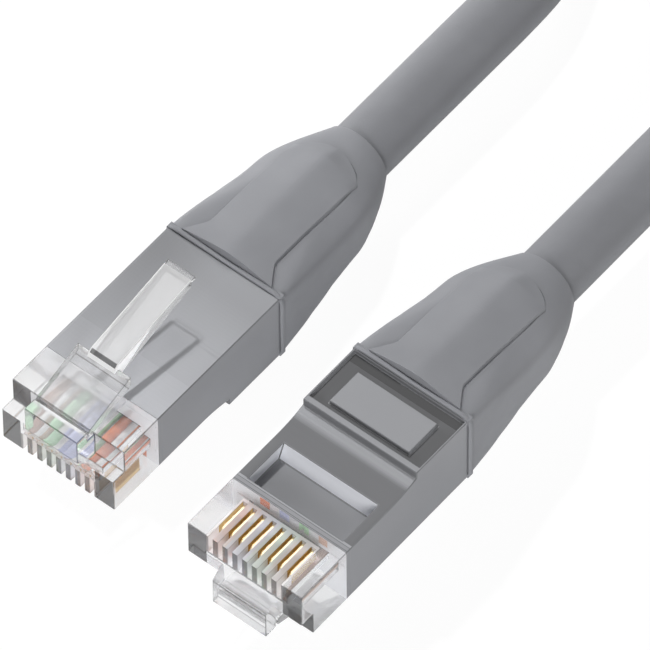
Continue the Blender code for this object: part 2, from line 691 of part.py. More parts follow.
def make_tie(wound, look):
    """A closed strap around the two strands that pass one above the other on the coil's straight run."""
    strands = []
    for before, after in zip(wound, wound[1:]):
        if before.y < 0 and after.x <= TIE_X < before.x:
            strands.append(before.lerp(after, (before.x - TIE_X) / (before.x - after.x)))
    low, high = sorted(strands, key=lambda strand: strand.z)
    lean = math.atan2(high.z - low.z, high.y - low.y)
    inner = cord_radius + TIE_GAP
    rings = []
    for x in (TIE_X - TIE_WIDTH / 2, TIE_X + TIE_WIDTH / 2):
        for radius in (inner, inner + TIE_THICKNESS):
            ring = []
            for i in range(24):
                around_high = i < 12
                turn = lean + math.pi * (i % 12 / 11 - (0.5 if around_high else -0.5))
                middle = high if around_high else low
                ring.append((x, middle.y + radius * math.cos(turn), middle.z + radius * math.sin(turn)))
            rings.append(ring)
    shape = bmesh.new()
    around = (rings[0], rings[1], rings[3], rings[2])
    loops = [[shape.verts.new(point) for point in ring] for ring in around]
    for near, far in zip(loops, [*loops[1:], loops[0]]):
        for i in range(24):
            j = (i + 1) % 24
            shape.faces.new((near[i], near[j], far[j], far[i]))
    mesh_object("tie", shape, look)


def main():
    for old in list(bpy.data.objects):
        bpy.data.objects.remove(old)
    looks = {
        "clear": material("clear plastic", (0.80, 0.83, 0.84), 0.12, alpha=0.35),
        "gold": material("gold plated contact", (0.80, 0.56, 0.22), 0.25, metallic=1.0),
        "mould": material("grey inner moulding", (0.24, 0.24, 0.26), 0.5),
        "boot": material("grey boot", (0.30, 0.305, 0.33), 0.45),
        "jacket": material("grey cable jacket", (0.32, 0.325, 0.345), 0.4),
        "tie": material("black tie", (0.02, 0.02, 0.022), 0.6),
    }
    for name, colour in WIRE_COLOURS.items():
        looks[name] = material(f"{name} wire".replace("_", " "), colour, 0.4)
    make_plug("a", (plug_a_x, plug_y, plug_a_z), False, looks)
    make_plug("b", (plug_b_x, -plug_y, plug_b_z), True, looks)
    make_cord(looks)


main()
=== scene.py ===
"""Looks of an ethernet patch cable: clear plugs, gold contacts, coloured wires, grey boots and a tied cord.

Sizes are in metres. A plug's own frame has x from the nose toward the cord, y across the contacts and z from
the contact face toward the latch face; plug_frame places it in the frame that the whole cable shares.
"""

import math

import bmesh
import bpy
import numpy as np
from bpy.props import FloatProperty, FloatVectorProperty, IntProperty, PointerProperty
from mathutils import Matrix, Vector


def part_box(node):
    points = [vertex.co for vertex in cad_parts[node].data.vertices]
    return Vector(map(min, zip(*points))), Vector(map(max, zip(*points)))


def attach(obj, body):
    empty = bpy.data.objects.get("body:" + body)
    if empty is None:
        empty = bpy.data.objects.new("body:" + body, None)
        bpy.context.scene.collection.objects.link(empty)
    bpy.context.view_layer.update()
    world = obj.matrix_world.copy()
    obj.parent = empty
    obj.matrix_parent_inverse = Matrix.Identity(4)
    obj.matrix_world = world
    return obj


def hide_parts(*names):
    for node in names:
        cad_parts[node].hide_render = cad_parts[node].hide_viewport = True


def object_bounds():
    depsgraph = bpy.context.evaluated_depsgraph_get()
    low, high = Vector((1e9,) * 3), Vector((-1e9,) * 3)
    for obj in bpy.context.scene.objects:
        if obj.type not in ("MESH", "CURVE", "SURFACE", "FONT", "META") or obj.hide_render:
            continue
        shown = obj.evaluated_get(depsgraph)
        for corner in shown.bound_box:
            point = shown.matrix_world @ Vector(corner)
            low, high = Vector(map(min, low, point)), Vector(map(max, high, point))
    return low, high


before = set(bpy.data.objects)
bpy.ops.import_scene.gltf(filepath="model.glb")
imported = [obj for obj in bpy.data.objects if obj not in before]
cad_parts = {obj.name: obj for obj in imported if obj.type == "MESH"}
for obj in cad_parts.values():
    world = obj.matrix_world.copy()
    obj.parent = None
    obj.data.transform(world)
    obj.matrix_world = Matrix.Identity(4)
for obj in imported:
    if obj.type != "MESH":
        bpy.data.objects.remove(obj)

bl_info = {
    "name": "Patch Cable Looks",
    "version": (1, 0, 0),
    "blender": (4, 5, 0),
    "location": "View3D > Sidebar > Patch Cable",
    "description": "Finished plugs, boots, wires, contacts and cord for a patch cable",
    "category": "Object",
}

cad_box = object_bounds()
TAGS = ("a", "b")
BODY = "cable"
SHARP_ANGLE = math.radians(35)
WELD = 1e-6
CUT_SLACK = 1e-7
BEVEL_ROOM = 2.2
X_AXIS = Vector((1, 0, 0))
Y_AXIS = Vector((0, 1, 0))
Z_AXIS = Vector((0, 0, 1))
SQUARE_ON = 0.9
MOSTLY = 0.8
NOISE_LOW = 0.3
NOISE_HIGH = 0.7

# Housing
PLUG_WIDTH = 0.01168
PLUG_HEIGHT = 0.00635
HOUSING_LENGTH = 0.02145
RIDGE_DROP = 0.00121
RIDGE_AT = 0.0145
RIDGE_WIDTH = 0.0006
PANEL_DEPTH = 0.0004
PAD_GAP_BACK = 0.0015
POCKET_START = 0.0064
POCKET_LENGTH = 0.0045
POCKET_DEPTH = 0.0015
POCKET_SLANT = 0.0007
CAVITY_START = 0.0056
CAVITY_STEP_AT = 0.0097
NOSE_END = 0.00563
NOSE_GAP = 0.00003
NOSE_FRONT_DEPTH = 0.002
COMB_DEPTH = 0.00215
COMB_HALF = 0.0039
COMB_END = 0.0047
# Heights of the painted reflections of the coloured wires on a nose's back
GLEAM = (0.0001, 0.0014)
# Slices for the painted light along the latch face, the painted shade toward its left edge and the painted
# light up the ramp; places of the painted lines before the pocket
FORE_END = 0.0185
FORE_SHADES = 25
BAND_SHADES = 10
FADE_START = -0.001
FADE_SHADES = 22
RAMP_TURN = (0.0130, 0.0138)
RAMP_SHADES = 6
RIM_LINES = ((0.00575, 0.00582), (0.00612, 0.00618))
WALL_RIM = (0.3, 0.45)

# Places of a nose's looks and of a latch's looks in their lists
CLEAR_LOOK = 0
FILLED_LOOK = 1
# Looks that paint reflections and a sheen: the slot's gold, a paler top, the wires in the fingers and on the
# back
SLOT_LOOK = 2
TOP_LOOK = 3
COMB_LOOKS = 4
GLEAM_LOOKS = 8
PLATFORM_LOOK = 0
LEVER_LOOK = 1
# The glint look paints highlights on a lever
GLINT_LOOK = 2

# Latch
SHOULDER_AT = 0.00608
LEVER_OVERLAP = 0.0005
LATCH_WIDTH = 0.0055
LEVER_WIDTH = 0.00285
# Width of the strips of painted highlight along a lever's top edges
LEVER_GLINT = 0.00011
LATCH_TIP_AT = 0.01534
# Ends of the slant that bounds the painted highlight on a lever's sides
GUSSET_GLINT_FOOT = (0.0064, 0, 0.00795)
GUSSET_GLINT_TIP = (0.0104, 0, 0.0102)

# Contacts and wires
CONTACT_COUNT = 8
CONTACT_PITCH = 0.001
CONTACT_THICKNESS = 0.0003
CONTACT_START = 0.00135
CONTACT_LENGTH = 0.003
CONTACT_SINK = 0.0003
CONTACT_ROUND = 0.0005
TOOTH_LENGTH = 0.0006
TOOTH_WIDTH = 0.0009
TOOTH_BITE = 0.0004
WIRE_DIAMETER = 0.00086
CORE_DIAMETER = 0.00045
CORE_REACH = 0.00003
WIRE_LEVEL = 0.00255
WIRE_START = 0.00095
WIRE_GAP = 0.00012
WIRE_STEPS = 48
CORE_POINTS = 12
STAGGER_START = 0.0066
STAGGER_LENGTH = 0.0026
FAN_LENGTH = 0.0036
ROW_SPACING = 0.0011
COLUMN_SPACING = 0.00115
CABLE_LEVEL = 0.0031

# Boot
SOCKET_DEPTH = 0.0005
SOCKET_GAP = 0.0001
FLANGE_MARGIN = 0.00028
FLANGE_THICKNESS = 0.00045
FLANGE_STEP = 0.00012
BOOT_LENGTH = 0.01715
BOOT_TAPER = 0.00108
BOOT_BELLY_RISE = 0.00065
BOOT_END_RADIUS = 0.00316
BOOT_CLOSING_FROM = 0.62
SHOULDER_CUT = 0.4
SHOULDER_CUT_START = 0.07
SHOULDER_CUT_FROM = 0.58
ROOF_RISE = 0.00088
ROOF_EDGE = 0.0002
ROOF_WIDTH = 0.0068
ROOF_FRONT_WIDTH = 0.0095
ROOF_NARROWING = 0.002
ROOF_LENGTH = 0.0126
ROOF_END_ARC = 0.0016
CORNER_SHARPNESS = 30
END_SHARPNESS = 14
BORE_GAP = 0.00012
SOCKET_SHARPNESS = 200
PANEL_DRAFT = 0.00003
PANEL_FILLET = 0.00008
PANEL_GROOVE = 0.00008
LIT_GROOVE = 0.000005
RIDGE_SOFTNESS = 0.16
SIDE_COLUMNS = 16
SHOULDER_COLUMNS = 10
PANEL_SHARES = (0.84, 0.66, 0.48, 0.32, 0.2, 0.1, 0.04)
PANEL_LEAST = 0.0001
FLARE_SOFTNESS = 0.12
TAIL_START_WIDTH = 0.00012
TAIL_WIDENING = 0.0012
TAIL_END_WIDTH = 0.00132

# Cord
CORD_DIAMETER = 0.0057
CABLE_SPLIT_BACK = 0.008
FACE_GAP = 0.0003
COIL_NEAR_X = 0.048
COIL_RADIUS = 0.026
COIL_STEP = 0.006
COIL_STRAIGHT = 0.0242
COIL_LAYER = 0.00625
COIL_ENTRY = math.radians(36.87)
POINTS_PER_LOOP = 24
LEAD_END_RUN = 0.003
TIE_X = 0.082
TIE_WIDTH = 0.004
TIE_GAP = 0.00045
TIE_THICKNESS = 0.0006
TIE_SLIMNESS = 0.8
TIE_LAP = 0.006
TIE_STEPS = 150
TIE_SIDES = 16

# Stage: each lamp's way from the target, its distance and the size of its disk
KEY_WAY = (0.48, 0.14, 0.86)
KEY_DISTANCE = 0.35
KEY_SIZE = 0.021
LEFT_LAMP = (Vector((0.12, 0.95, 0.29)), 0.25, 0.11)
RIGHT_LAMP = (Vector((0.6, -0.9, 0.1)), 0.3, 0.25)
FRONT_LAMP = (Vector((-0.85, -0.42, 0.32)), 0.5, 0.2)
SENSOR_WIDTH = 36
NEAR_CLIP = 0.01
FAR_CLIP = 100
FLOOR_HALF = 3
FLOOR_DROP = 0.00002

# Free stretches of the cord: from inside each boot to where the coil begins
LEAD_A_ROUTE = (
    (0.0125, 0.0, 0.0), (0.0200, 0.0, 0.0), (0.0280, 0.0, 0.0), (0.0350, 0.0, 0.0),
    (0.0400, 0.0001, -0.0002), (0.0450, 0.0007, -0.0009), (0.0500, 0.0024, -0.0019),
)
LEAD_B_ROUTE = (
    (0.0105, 0.0, 0.0), (0.0190, 0.0, 0.0), (0.0280, 0.0, 0.0), (0.0350, 0.0, 0.0),
    (0.0400, -0.0001, 0.0001), (0.0450, -0.0007, 0.0004), (0.0500, -0.0024, 0.0008),
)

WIRE_NAMES = (
    "brown", "white_brown", "green", "white_blue", "blue", "white_green", "orange", "white_orange",
)

boot_start = HOUSING_LENGTH - SOCKET_DEPTH
boot_end = boot_start + BOOT_LENGTH
body_start = boot_start + FLANGE_THICKNESS
flange_half = PLUG_WIDTH / 2 + FLANGE_MARGIN
boot_top = PLUG_HEIGHT + FLANGE_MARGIN - FLANGE_STEP
boot_bottom = -RIDGE_DROP - FLANGE_MARGIN + FLANGE_STEP
straight_end = body_start + ROOF_LENGTH
panel_end = straight_end + ROOF_END_ARC
end_arc_radius = ((ROOF_WIDTH / 2) ** 2 + ROOF_END_ARC**2) / (2 * ROOF_END_ARC)
cord_radius = CORD_DIAMETER / 2
fan_start = STAGGER_START + STAGGER_LENGTH


def length_property(name, description, default):
    return FloatProperty(
        name=name, description=description, default=default, min=0, precision=5, unit="LENGTH"
    )


def level_property(name, description, default, least=0):
    return FloatProperty(name=name, description=description, default=default, min=least)


def share_property(name, description, default):
    return FloatProperty(name=name, description=description, default=default, min=0, max=1, subtype="FACTOR")


def colour_property(name, description, default):
    return FloatVectorProperty(
        name=name, description=description, default=default, size=3, min=0, max=1, subtype="COLOR"
    )


def angle_property(name, description, degrees):
    return FloatProperty(name=name, description=description, default=math.radians(degrees), subtype="ANGLE")


class ClearSettings(bpy.types.PropertyGroup):
    nose_tint: colour_property("Nose tint", "Colour of the clear noses", (0.88, 0.885, 0.895))
    latch_tint: colour_property("Latch tint", "Colour of the clear latches", (0.97, 0.97, 0.975))
    shade: share_property("Shadow", "How much light passes each wall of the clear plastic", 0.97)
    roughness: share_property("Roughness", "Roughness of the polished mouldings", 0.03)
    nose: share_property("Nose clearness", "Share of light that a surface of the nose lets through", 0.82)
    # Painted shade on the solid front corners
    front: share_property("Front", "Brightness of the solid front corners, which mirror the filling", 0.09)
    # Painted light on a nose's sides and latch face
    side: level_property("Side", "Brightness of a nose's sides and latch face", 1.12)
    # Painted shade on the fronts of the fingers
    finger: share_property("Fingers", "Brightness of the fronts of the fingers", 0.28)
    comb_tint: colour_property("Comb tint", "Colour of the fingers between the contacts", (0.98, 0.98, 0.985))
    # Painted reflection of the wires' colours in the fingers beside them
    wire_reflection: share_property("Wire tint", "Share of a wire's colour in the fingers beside it", 0.16)
    # Painted reflection of the gold on the slot walls beside the contacts
    slot_gold_reflection: colour_property("Slot tint", "Colour of the slot walls beside the gold", (0.62, 0.36, 0.1))
    # Painted light on the tops of the fingers
    comb_top: level_property("Comb top", "Brightness of the tops of the fingers", 1.25)
    # The fingers let less light through than the rest of the nose, which makes them paler: painted light
    comb: share_property("Comb clearness", "Share of light that a finger of the comb lets through", 0.52)
    latch: share_property("Latch clearness", "Share of light that a latch's platform lets through", 0.8)
    # The lever lets less light through than the platform, which makes it paler: painted light
    lever: share_property("Lever clearness", "Share of light that a latch's lever lets through", 0.5)
    latch_rim: share_property("Latch rim", "Share of a lamp's light that passes a latch wall edge on", 0.05)
    nose_bend: level_property("Nose bend", "How much a nose bends light", 1.25, least=1)
    latch_bend: level_property("Latch bend", "How much a latch bends light", 1.2, least=1)
    edge: length_property("Edge rounding", "Width of the rounded edges of the clear mouldings", 0.00009)
    # Painted dark lines on the rounded edges of the noses and of the latches
    line: share_property("Edge line", "Brightness of the rounded edges, which bend the light away", 0.32)
    latch_line: share_property("Latch line", "Brightness of the rounded edges of the latches", 0.36)
    # Painted highlights on a lever's edges and lower sides, and painted shade on the step at its root
    glint: share_property("Glint", "Share of light that passes a lever's edges, which mirror the sky", 0.1)
    gusset_glint: level_property("Gusset", "Brightness of a lever's thick lower side", 1.7)
    root: share_property("Root", "Brightness of the dark step at the root of a lever", 0.16)
    # A nose's latch face lets less light through than the rest of the nose, so that it looks paler: a painted
    # sheen
    top: share_property("Top clearness", "Share of light that a nose's latch face lets through", 0.68)
    # Lighter painted dark lines on the rounded edges of the comb
    fine_line: share_property("Fine edge line", "Brightness of the rounded edges of the comb", 0.7)


class ShellSettings(bpy.types.PropertyGroup):
    colour: colour_property("Colour", "Grey of the filled rear of the housings", (0.345, 0.35, 0.369))
    roughness: share_property("Roughness", "Roughness of the filled rear of the housings", 0.24)
    # Painted light along the latch face, strongest behind the nose and fading toward the boot
    band: level_property("Band", "Brightness of the latch face at the nose", 1.85)
    middle: level_property("Middle", "Brightness at the back of that band", 1.56)
    fore: level_property("Fore", "Brightness of the latch face behind the band", 1.47)
    # Painted shade toward the latch face's left edge
    fade: share_property("Fade", "How much the latch face darkens toward its left edge", 0.25)
    # The recess round the pad is made darker
    recess: level_property("Recess", "Brightness of the recess round the pad", 0.28)
    # Painted shade where the flange shades the recess
    corner: level_property("Corner", "Brightness of the recess at the flange", 0.1)
    # Painted shade on the fronts of the ridge and the pad
    step: level_property("Step", "Brightness of the fronts of ridge and pad", 0.5)
    # Painted shade on the pocket's floor
    floor: level_property("Floor", "Brightness of the pocket's floor", 0.8)
    # The flat round the pocket is made darker
    flat: level_property("Flat", "Brightness of the flat round the pocket", 0.47)
    # Painted light up the ramp below the ridge
    ramp: level_property("Ramp", "Brightness of the ramp below the ridge", 1.1)
    # Painted dark lines on the rounded edges
    edge: level_property("Edge", "Brightness of the rounded edges", 0.6)
    # Painted light on the front that shows through the nose
    front: level_property("Front", "Brightness of the front behind the nose", 2.3)
    # Painted dark lines before the pocket
    line: level_property("Line", "Brightness of the lines before the pocket", 0.55)
    # Painted light on the pocket's front rim and slanted wall
    rim: level_property("Rim", "Brightness of the pocket's front rim", 1.25)
    wall: level_property("Wall", "Brightness of the pocket's slanted wall", 2.6)


class MouldSettings(bpy.types.PropertyGroup):
    colour: colour_property("Colour", "Grey of the moulding behind the clear walls", (0.27, 0.275, 0.29))
    roughness: share_property("Roughness", "Roughness of the inner moulding", 0.55)


class BootSettings(bpy.types.PropertyGroup):
    colour: colour_property("Colour", "Grey of the moulded boots", (0.30, 0.305, 0.325))
    roughness: share_property("Roughness", "Roughness of the moulded boots", 0.55)
    grain: length_property("Grain", "Size of the fine grain on the moulded skin", 0.00012)


class CordSettings(bpy.types.PropertyGroup):
    colour: colour_property("Colour", "Grey of the cable jacket", (0.258, 0.262, 0.279))
    roughness: share_property("Roughness", "Roughness of the cable jacket", 0.6)
    spacing: length_property("Point spacing", "Distance between points along the cord", 0.0012)
    tie_colour: colour_property("Tie colour", "Colour of the woven tie", (0.018, 0.018, 0.02))


class ContactSettings(bpy.types.PropertyGroup):
    colour: colour_property("Plating", "Colour of the gold plating", (0.5, 0.31, 0.11))
    # Painted highlight on the crests of the blades
    crest_highlight: colour_property("Crest", "Colour of the polished crests", (0.95, 0.83, 0.55))
    roughness: share_property("Roughness", "Roughness of the gold plating", 0.24)
    edge: length_property("Edge rounding", "Width of the rounded edges of a blade", 0.00007)


class WireSettings(bpy.types.PropertyGroup):
    sides: IntProperty(name="Sides", description="Faces around a wire", default=24, min=8)
    brown: colour_property("Brown", "Brown insulation", (0.60, 0.38, 0.29))
    green: colour_property("Green", "Green insulation", (0.42, 0.76, 0.44))
    blue: colour_property("Blue", "Blue insulation", (0.47, 0.51, 0.82))
    orange: colour_property("Orange", "Orange insulation", (0.82, 0.17, 0.015))
    white: colour_property("White", "White insulation of the striped wires", (0.90, 0.90, 0.89))
    copper: colour_property("Copper", "Colour of the copper cores", (0.80, 0.40, 0.24))
    stripe: share_property("Stripe", "Share of the way round that a coloured stripe takes", 0.3)


class StageSettings(bpy.types.PropertyGroup):
    azimuth: angle_property("Azimuth", "Camera's way round the object", -50.3046)
    elevation: angle_property("Elevation", "Camera's height above the horizon", 53.6933)
    roll: angle_property("Roll", "Camera's turn about its own line of sight", -0.6378)
    distance: length_property("Distance", "From the camera to what it looks at", 0.9663)
    lens: level_property("Lens", "Focal length in millimetres", 664.71, least=1)
    target: FloatVectorProperty(
        name="Target", description="Where the camera looks", default=(0.003673, 0.00025, 0.0086),
        size=3, subtype="XYZ", unit="LENGTH", precision=5,
    )
    floor_colour: colour_property("Floor", "Colour of the floor", (0.7, 0.7, 0.7))
    floor_lift: share_property("Floor lift", "Share of plain white that the eye sees on the floor", 0.88)
    floor_glow: level_property("Floor glow", "Light that the floor throws back up", 0.55)
    sky: level_property("Sky", "Strength of the soft light from all round", 0.02)
    mirrored_sky: level_property("Mirrored sky", "Strength of the light overhead in polished surfaces", 1.8)
    key: level_property("Key", "Power of the lamp above and behind, in watts", 0.66)
    left: level_property("Left", "Power of the soft lamp on the left, in watts", 0.33)
    right: level_property("Right", "Power of the lamp on the right, in watts", 0.2)
    front: level_property("Front", "Power of the lamp in front, in watts", 1.25)


class PatchCableSettings(bpy.types.PropertyGroup):
    clear: PointerProperty(type=ClearSettings, name="Clear plastic")
    shell: PointerProperty(type=ShellSettings, name="Filled rear of the housings")
    mould: PointerProperty(type=MouldSettings, name="Inner mouldings")
    boot: PointerProperty(type=BootSettings, name="Boots")
    cord: PointerProperty(type=CordSettings, name="Cord")
    contact: PointerProperty(type=ContactSettings, name="Contacts")
    wire: PointerProperty(type=WireSettings, name="Wires")
    stage: PointerProperty(type=StageSettings, name="Stage")


def settings():
    return bpy.context.scene.patch_cable


def plug_frame(tag):
    """From a plug's own frame to the row frame: plug a lies latch up, plug b is turned over."""
    low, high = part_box(f"housing_{tag}")
    turned = tag == "b"
    level = high.z - RIDGE_DROP if turned else low.z + RIDGE_DROP
    place = Vector((high.x - HOUSING_LENGTH, (low.y + high.y) / 2, level))
    return Matrix.Translation(place) @ Matrix.Rotation(math.pi if turned else 0, 4, "X")


def ease(share):
    share = min(max(share, 0.0), 1.0)
    return share * share * (3 - 2 * share)


# Materials


def new_look(name):
    look = bpy.data.materials.new(name)
    look.use_nodes = True
    return look, look.node_tree, look.node_tree.nodes["Principled BSDF"]


def add_node(tree, kind, **values):
    node = tree.nodes.new(kind)
    for key, value in values.items():
        setattr(node, key, value)
    return node


def grain(tree, size, stretch=(1, 1, 1), detail=2.0):
    """Noise whose spots are about the given size, stretched along the axes."""
    where = add_node(tree, "ShaderNodeTexCoord")
    spread = add_node(tree, "ShaderNodeMapping")
    spread.inputs["Scale"].default_value = stretch
    noise = add_node(tree, "ShaderNodeTexNoise")
    noise.inputs["Scale"].default_value = 1 / size
    noise.inputs["Detail"].default_value = detail
    tree.links.new(where.outputs["Object"], spread.inputs["Vector"])
    tree.links.new(spread.outputs["Vector"], noise.inputs["Vector"])
    return noise.outputs["Fac"]


def vary_colour(tree, shader, source, colour, change):
    """Base colour that drifts a little darker and lighter about the given one."""
    ramp = add_node(tree, "ShaderNodeValToRGB")
    ramp.color_ramp.elements[0].position = NOISE_LOW
    ramp.color_ramp.elements[1].position = NOISE_HIGH
    ramp.color_ramp.elements[0].color = (*[c * (1 - change) for c in colour], 1)
    ramp.color_ramp.elements[1].color = (*[min(c * (1 + change), 1) for c in colour], 1)
    tree.links.new(source, ramp.inputs["Fac"])
    tree.links.new(ramp.outputs["Color"], shader.inputs["Base Color"])
    return ramp


def vary_roughness(tree, shader, source, middle, change):
    spread = add_node(tree, "ShaderNodeMapRange")
    spread.inputs["From Min"].default_value = NOISE_LOW
    spread.inputs["From Max"].default_value = NOISE_HIGH
    spread.inputs["To Min"].default_value = middle - change
    spread.inputs["To Max"].default_value = middle + change
    tree.links.new(source, spread.inputs["Value"])
    tree.links.new(spread.outputs["Result"], shader.inputs["Roughness"])


def bump(tree, shader, source, height, strength=1.0):
    rise = add_node(tree, "ShaderNodeBump")
    rise.inputs["Distance"].default_value = height
    rise.inputs["Strength"].default_value = strength
    tree.links.new(source, rise.inputs["Height"])
    tree.links.new(rise.outputs["Normal"], shader.inputs["Normal"])


def moulded_grey(name, colour, roughness, skin):
    """Satin grey plastic: faint clouding, uneven gloss and a fine moulded grain."""
    look, tree, shader = new_look(name)
    vary_colour(tree, shader, grain(tree, 0.004), colour, 0.035)
    vary_roughness(tree, shader, grain(tree, 0.0015), roughness, 0.05)
    bump(tree, shader, grain(tree, skin, detail=3.0), skin * 0.05)
    shader.inputs["Specular IOR Level"].default_value = 0.4
    return look


def clear_plastic(name, colour, clearness, rim, bend):
    """Polished polycarbonate, tinted by the painted light and shade in the attribute shade.

    Light passes it straight to what it holds, and less of it at the rim, where a wall is seen edge on.
    """
    values = settings().clear
    look, tree, shader = new_look(name)
    shade = add_node(tree, "ShaderNodeAttribute", attribute_name="shade")
    tint = add_node(tree, "ShaderNodeVectorMath", operation="SCALE")
    tint.inputs["Vector"].default_value = colour
    shader.inputs["Roughness"].default_value = values.roughness
    shader.inputs["Transmission Weight"].default_value = clearness
    shader.inputs["IOR"].default_value = bend
    bump(tree, shader, grain(tree, 0.003, detail=0.0), 0.000002)
    facing = add_node(tree, "ShaderNodeLayerWeight")
    facing.inputs["Blend"].default_value = 0.35
    edge = add_node(tree, "ShaderNodeValToRGB")
    edge.color_ramp.elements[0].color = (values.shade, values.shade, values.shade, 1)
    edge.color_ramp.elements[1].color = (rim, rim, rim, 1)
    edge.color_ramp.elements[0].position = WALL_RIM[0]
    edge.color_ramp.elements[1].position = WALL_RIM[1]
    passing = add_node(tree, "ShaderNodeBsdfTransparent")
    scattered = add_node(tree, "ShaderNodeBsdfTransparent")
    scattered.inputs["Color"].default_value = (values.shade, values.shade, values.shade, 1)
    ray = add_node(tree, "ShaderNodeLightPath")
    soft = add_node(tree, "ShaderNodeMixShader")
    lamp = add_node(tree, "ShaderNodeMixShader")
    join = tree.links.new
    join(shade.outputs["Fac"], tint.inputs["Scale"])
    join(tint.outputs["Vector"], shader.inputs["Base Color"])
    join(facing.outputs["Facing"], edge.inputs["Fac"])
    join(edge.outputs["Color"], passing.inputs["Color"])
    join(ray.outputs["Is Diffuse Ray"], soft.inputs["Fac"])
    join(shader.outputs["BSDF"], soft.inputs[1])
    join(scattered.outputs["BSDF"], soft.inputs[2])
    join(ray.outputs["Is Shadow Ray"], lamp.inputs["Fac"])
    join(soft.outputs["Shader"], lamp.inputs[1])
    join(passing.outputs["BSDF"], lamp.inputs[2])
    join(lamp.outputs["Shader"], tree.nodes["Material Output"].inputs["Surface"])
    return look


def filled_shell():
    """The rear of a housing, where the grey filling is bonded to the clear walls; shade is its brightness,
    which paints light and shade onto it.
    """
    values = settings().shell
    look, tree, shader = new_look("filled housing")
    clouds = vary_colour(tree, shader, grain(tree, 0.005, detail=0.0), values.colour, 0.015)
    shade = add_node(tree, "ShaderNodeAttribute", attribute_name="shade")
    scale = add_node(tree, "ShaderNodeVectorMath", operation="SCALE")
    tree.links.new(clouds.outputs["Color"], scale.inputs["Vector"])
    tree.links.new(shade.outputs["Fac"], scale.inputs["Scale"])
    tree.links.new(scale.outputs["Vector"], shader.inputs["Base Color"])
    vary_roughness(tree, shader, grain(tree, 0.004, detail=0.0), values.roughness, 0.02)
    return look


def gold_plating():
    """Stamped blades: gold that is a little brushed along the blade, with a paler painted highlight on the
    crests that shade marks.
    """
    values = settings().contact
    look, tree, shader = new_look("gold plating")
    brushed = grain(tree, 0.00006, stretch=(0.12, 1, 1), detail=3.0)
    plating = vary_colour(tree, shader, grain(tree, 0.0008), values.colour, 0.06)
    # The painted highlight on the crests
    edges = add_node(tree, "ShaderNodeAttribute", attribute_name="shade")
    paint = add_node(tree, "ShaderNodeMix", data_type="RGBA")
    paint.inputs["B"].default_value = (*values.crest_highlight, 1)
    tree.links.new(edges.outputs["Fac"], paint.inputs["Factor"])
    tree.links.new(plating.outputs["Color"], paint.inputs["A"])
    tree.links.new(paint.outputs["Result"], shader.inputs["Base Color"])
    vary_roughness(tree, shader, brushed, values.roughness, 0.08)
    bump(tree, shader, brushed, 0.000002)
    shader.inputs["Metallic"].default_value = 1.0
    return look


def copper():
    look, tree, shader = new_look("drawn copper")
    drawn = grain(tree, 0.00008, stretch=(0.1, 1, 1))
    vary_colour(tree, shader, drawn, settings().wire.copper, 0.1)
    vary_roughness(tree, shader, drawn, 0.3, 0.08)
    shader.inputs["Metallic"].default_value = 1.0
    return look


def insulation(name):
    """Glossy wire insulation: plain, or white with a coloured stripe along it."""
    values = settings().wire
    striped = name.startswith("white_")
    colour = getattr(values, name.removeprefix("white_"))
    look, tree, shader = new_look(f"{name} insulation".replace("_", " "))
    clouds = grain(tree, 0.0012)
    if striped:
        ground = vary_colour(tree, shader, clouds, values.white, 0.03)
        round_it = add_node(tree, "ShaderNodeAttribute", attribute_name="round")
        line = add_node(tree, "ShaderNodeMapRange", interpolation_type="SMOOTHSTEP")
        limit = math.cos(math.pi * values.stripe)
        line.inputs["From Min"].default_value = limit - 0.06
        line.inputs["From Max"].default_value = limit + 0.06
        paint = add_node(tree, "ShaderNodeMix", data_type="RGBA")
        paint.inputs["B"].default_value = (*colour, 1)
        tree.links.new(round_it.outputs["Fac"], line.inputs["Value"])
        tree.links.new(line.outputs["Result"], paint.inputs["Factor"])
        tree.links.new(ground.outputs["Color"], paint.inputs["A"])
        tree.links.new(paint.outputs["Result"], shader.inputs["Base Color"])
    else:
        vary_colour(tree, shader, clouds, colour, 0.08)
    vary_roughness(tree, shader, clouds, 0.35, 0.05)
    return look


def woven_tie():
    """Woven strap: fine rows across and along it, read from the strap's own map in metres."""
    look, tree, shader = new_look("woven tie")
    shader.inputs["Roughness"].default_value = 0.85
    shader.inputs["Sheen Weight"].default_value = 0.25
    chart = add_node(tree, "ShaderNodeUVMap", uv_map="strap")
    rows = []
    for way, size in (("X", 0.00042), ("Y", 0.00036)):
        wave = add_node(tree, "ShaderNodeTexWave", wave_type="BANDS", bands_direction=way)
        wave.inputs["Scale"].default_value = math.tau / 20 / size
        wave.inputs["Distortion"].default_value = 0.4
        tree.links.new(chart.outputs["UV"], wave.inputs["Vector"])
        rows.append(wave.outputs["Fac"])
    weave = add_node(tree, "ShaderNodeMath", operation="MULTIPLY")
    tree.links.new(rows[0], weave.inputs[0])
    tree.links.new(rows[1], weave.inputs[1])
    vary_colour(tree, shader, weave.outputs["Value"], settings().cord.tie_colour, 0.6)
    bump(tree, shader, weave.outputs["Value"], 0.0001)
    return look


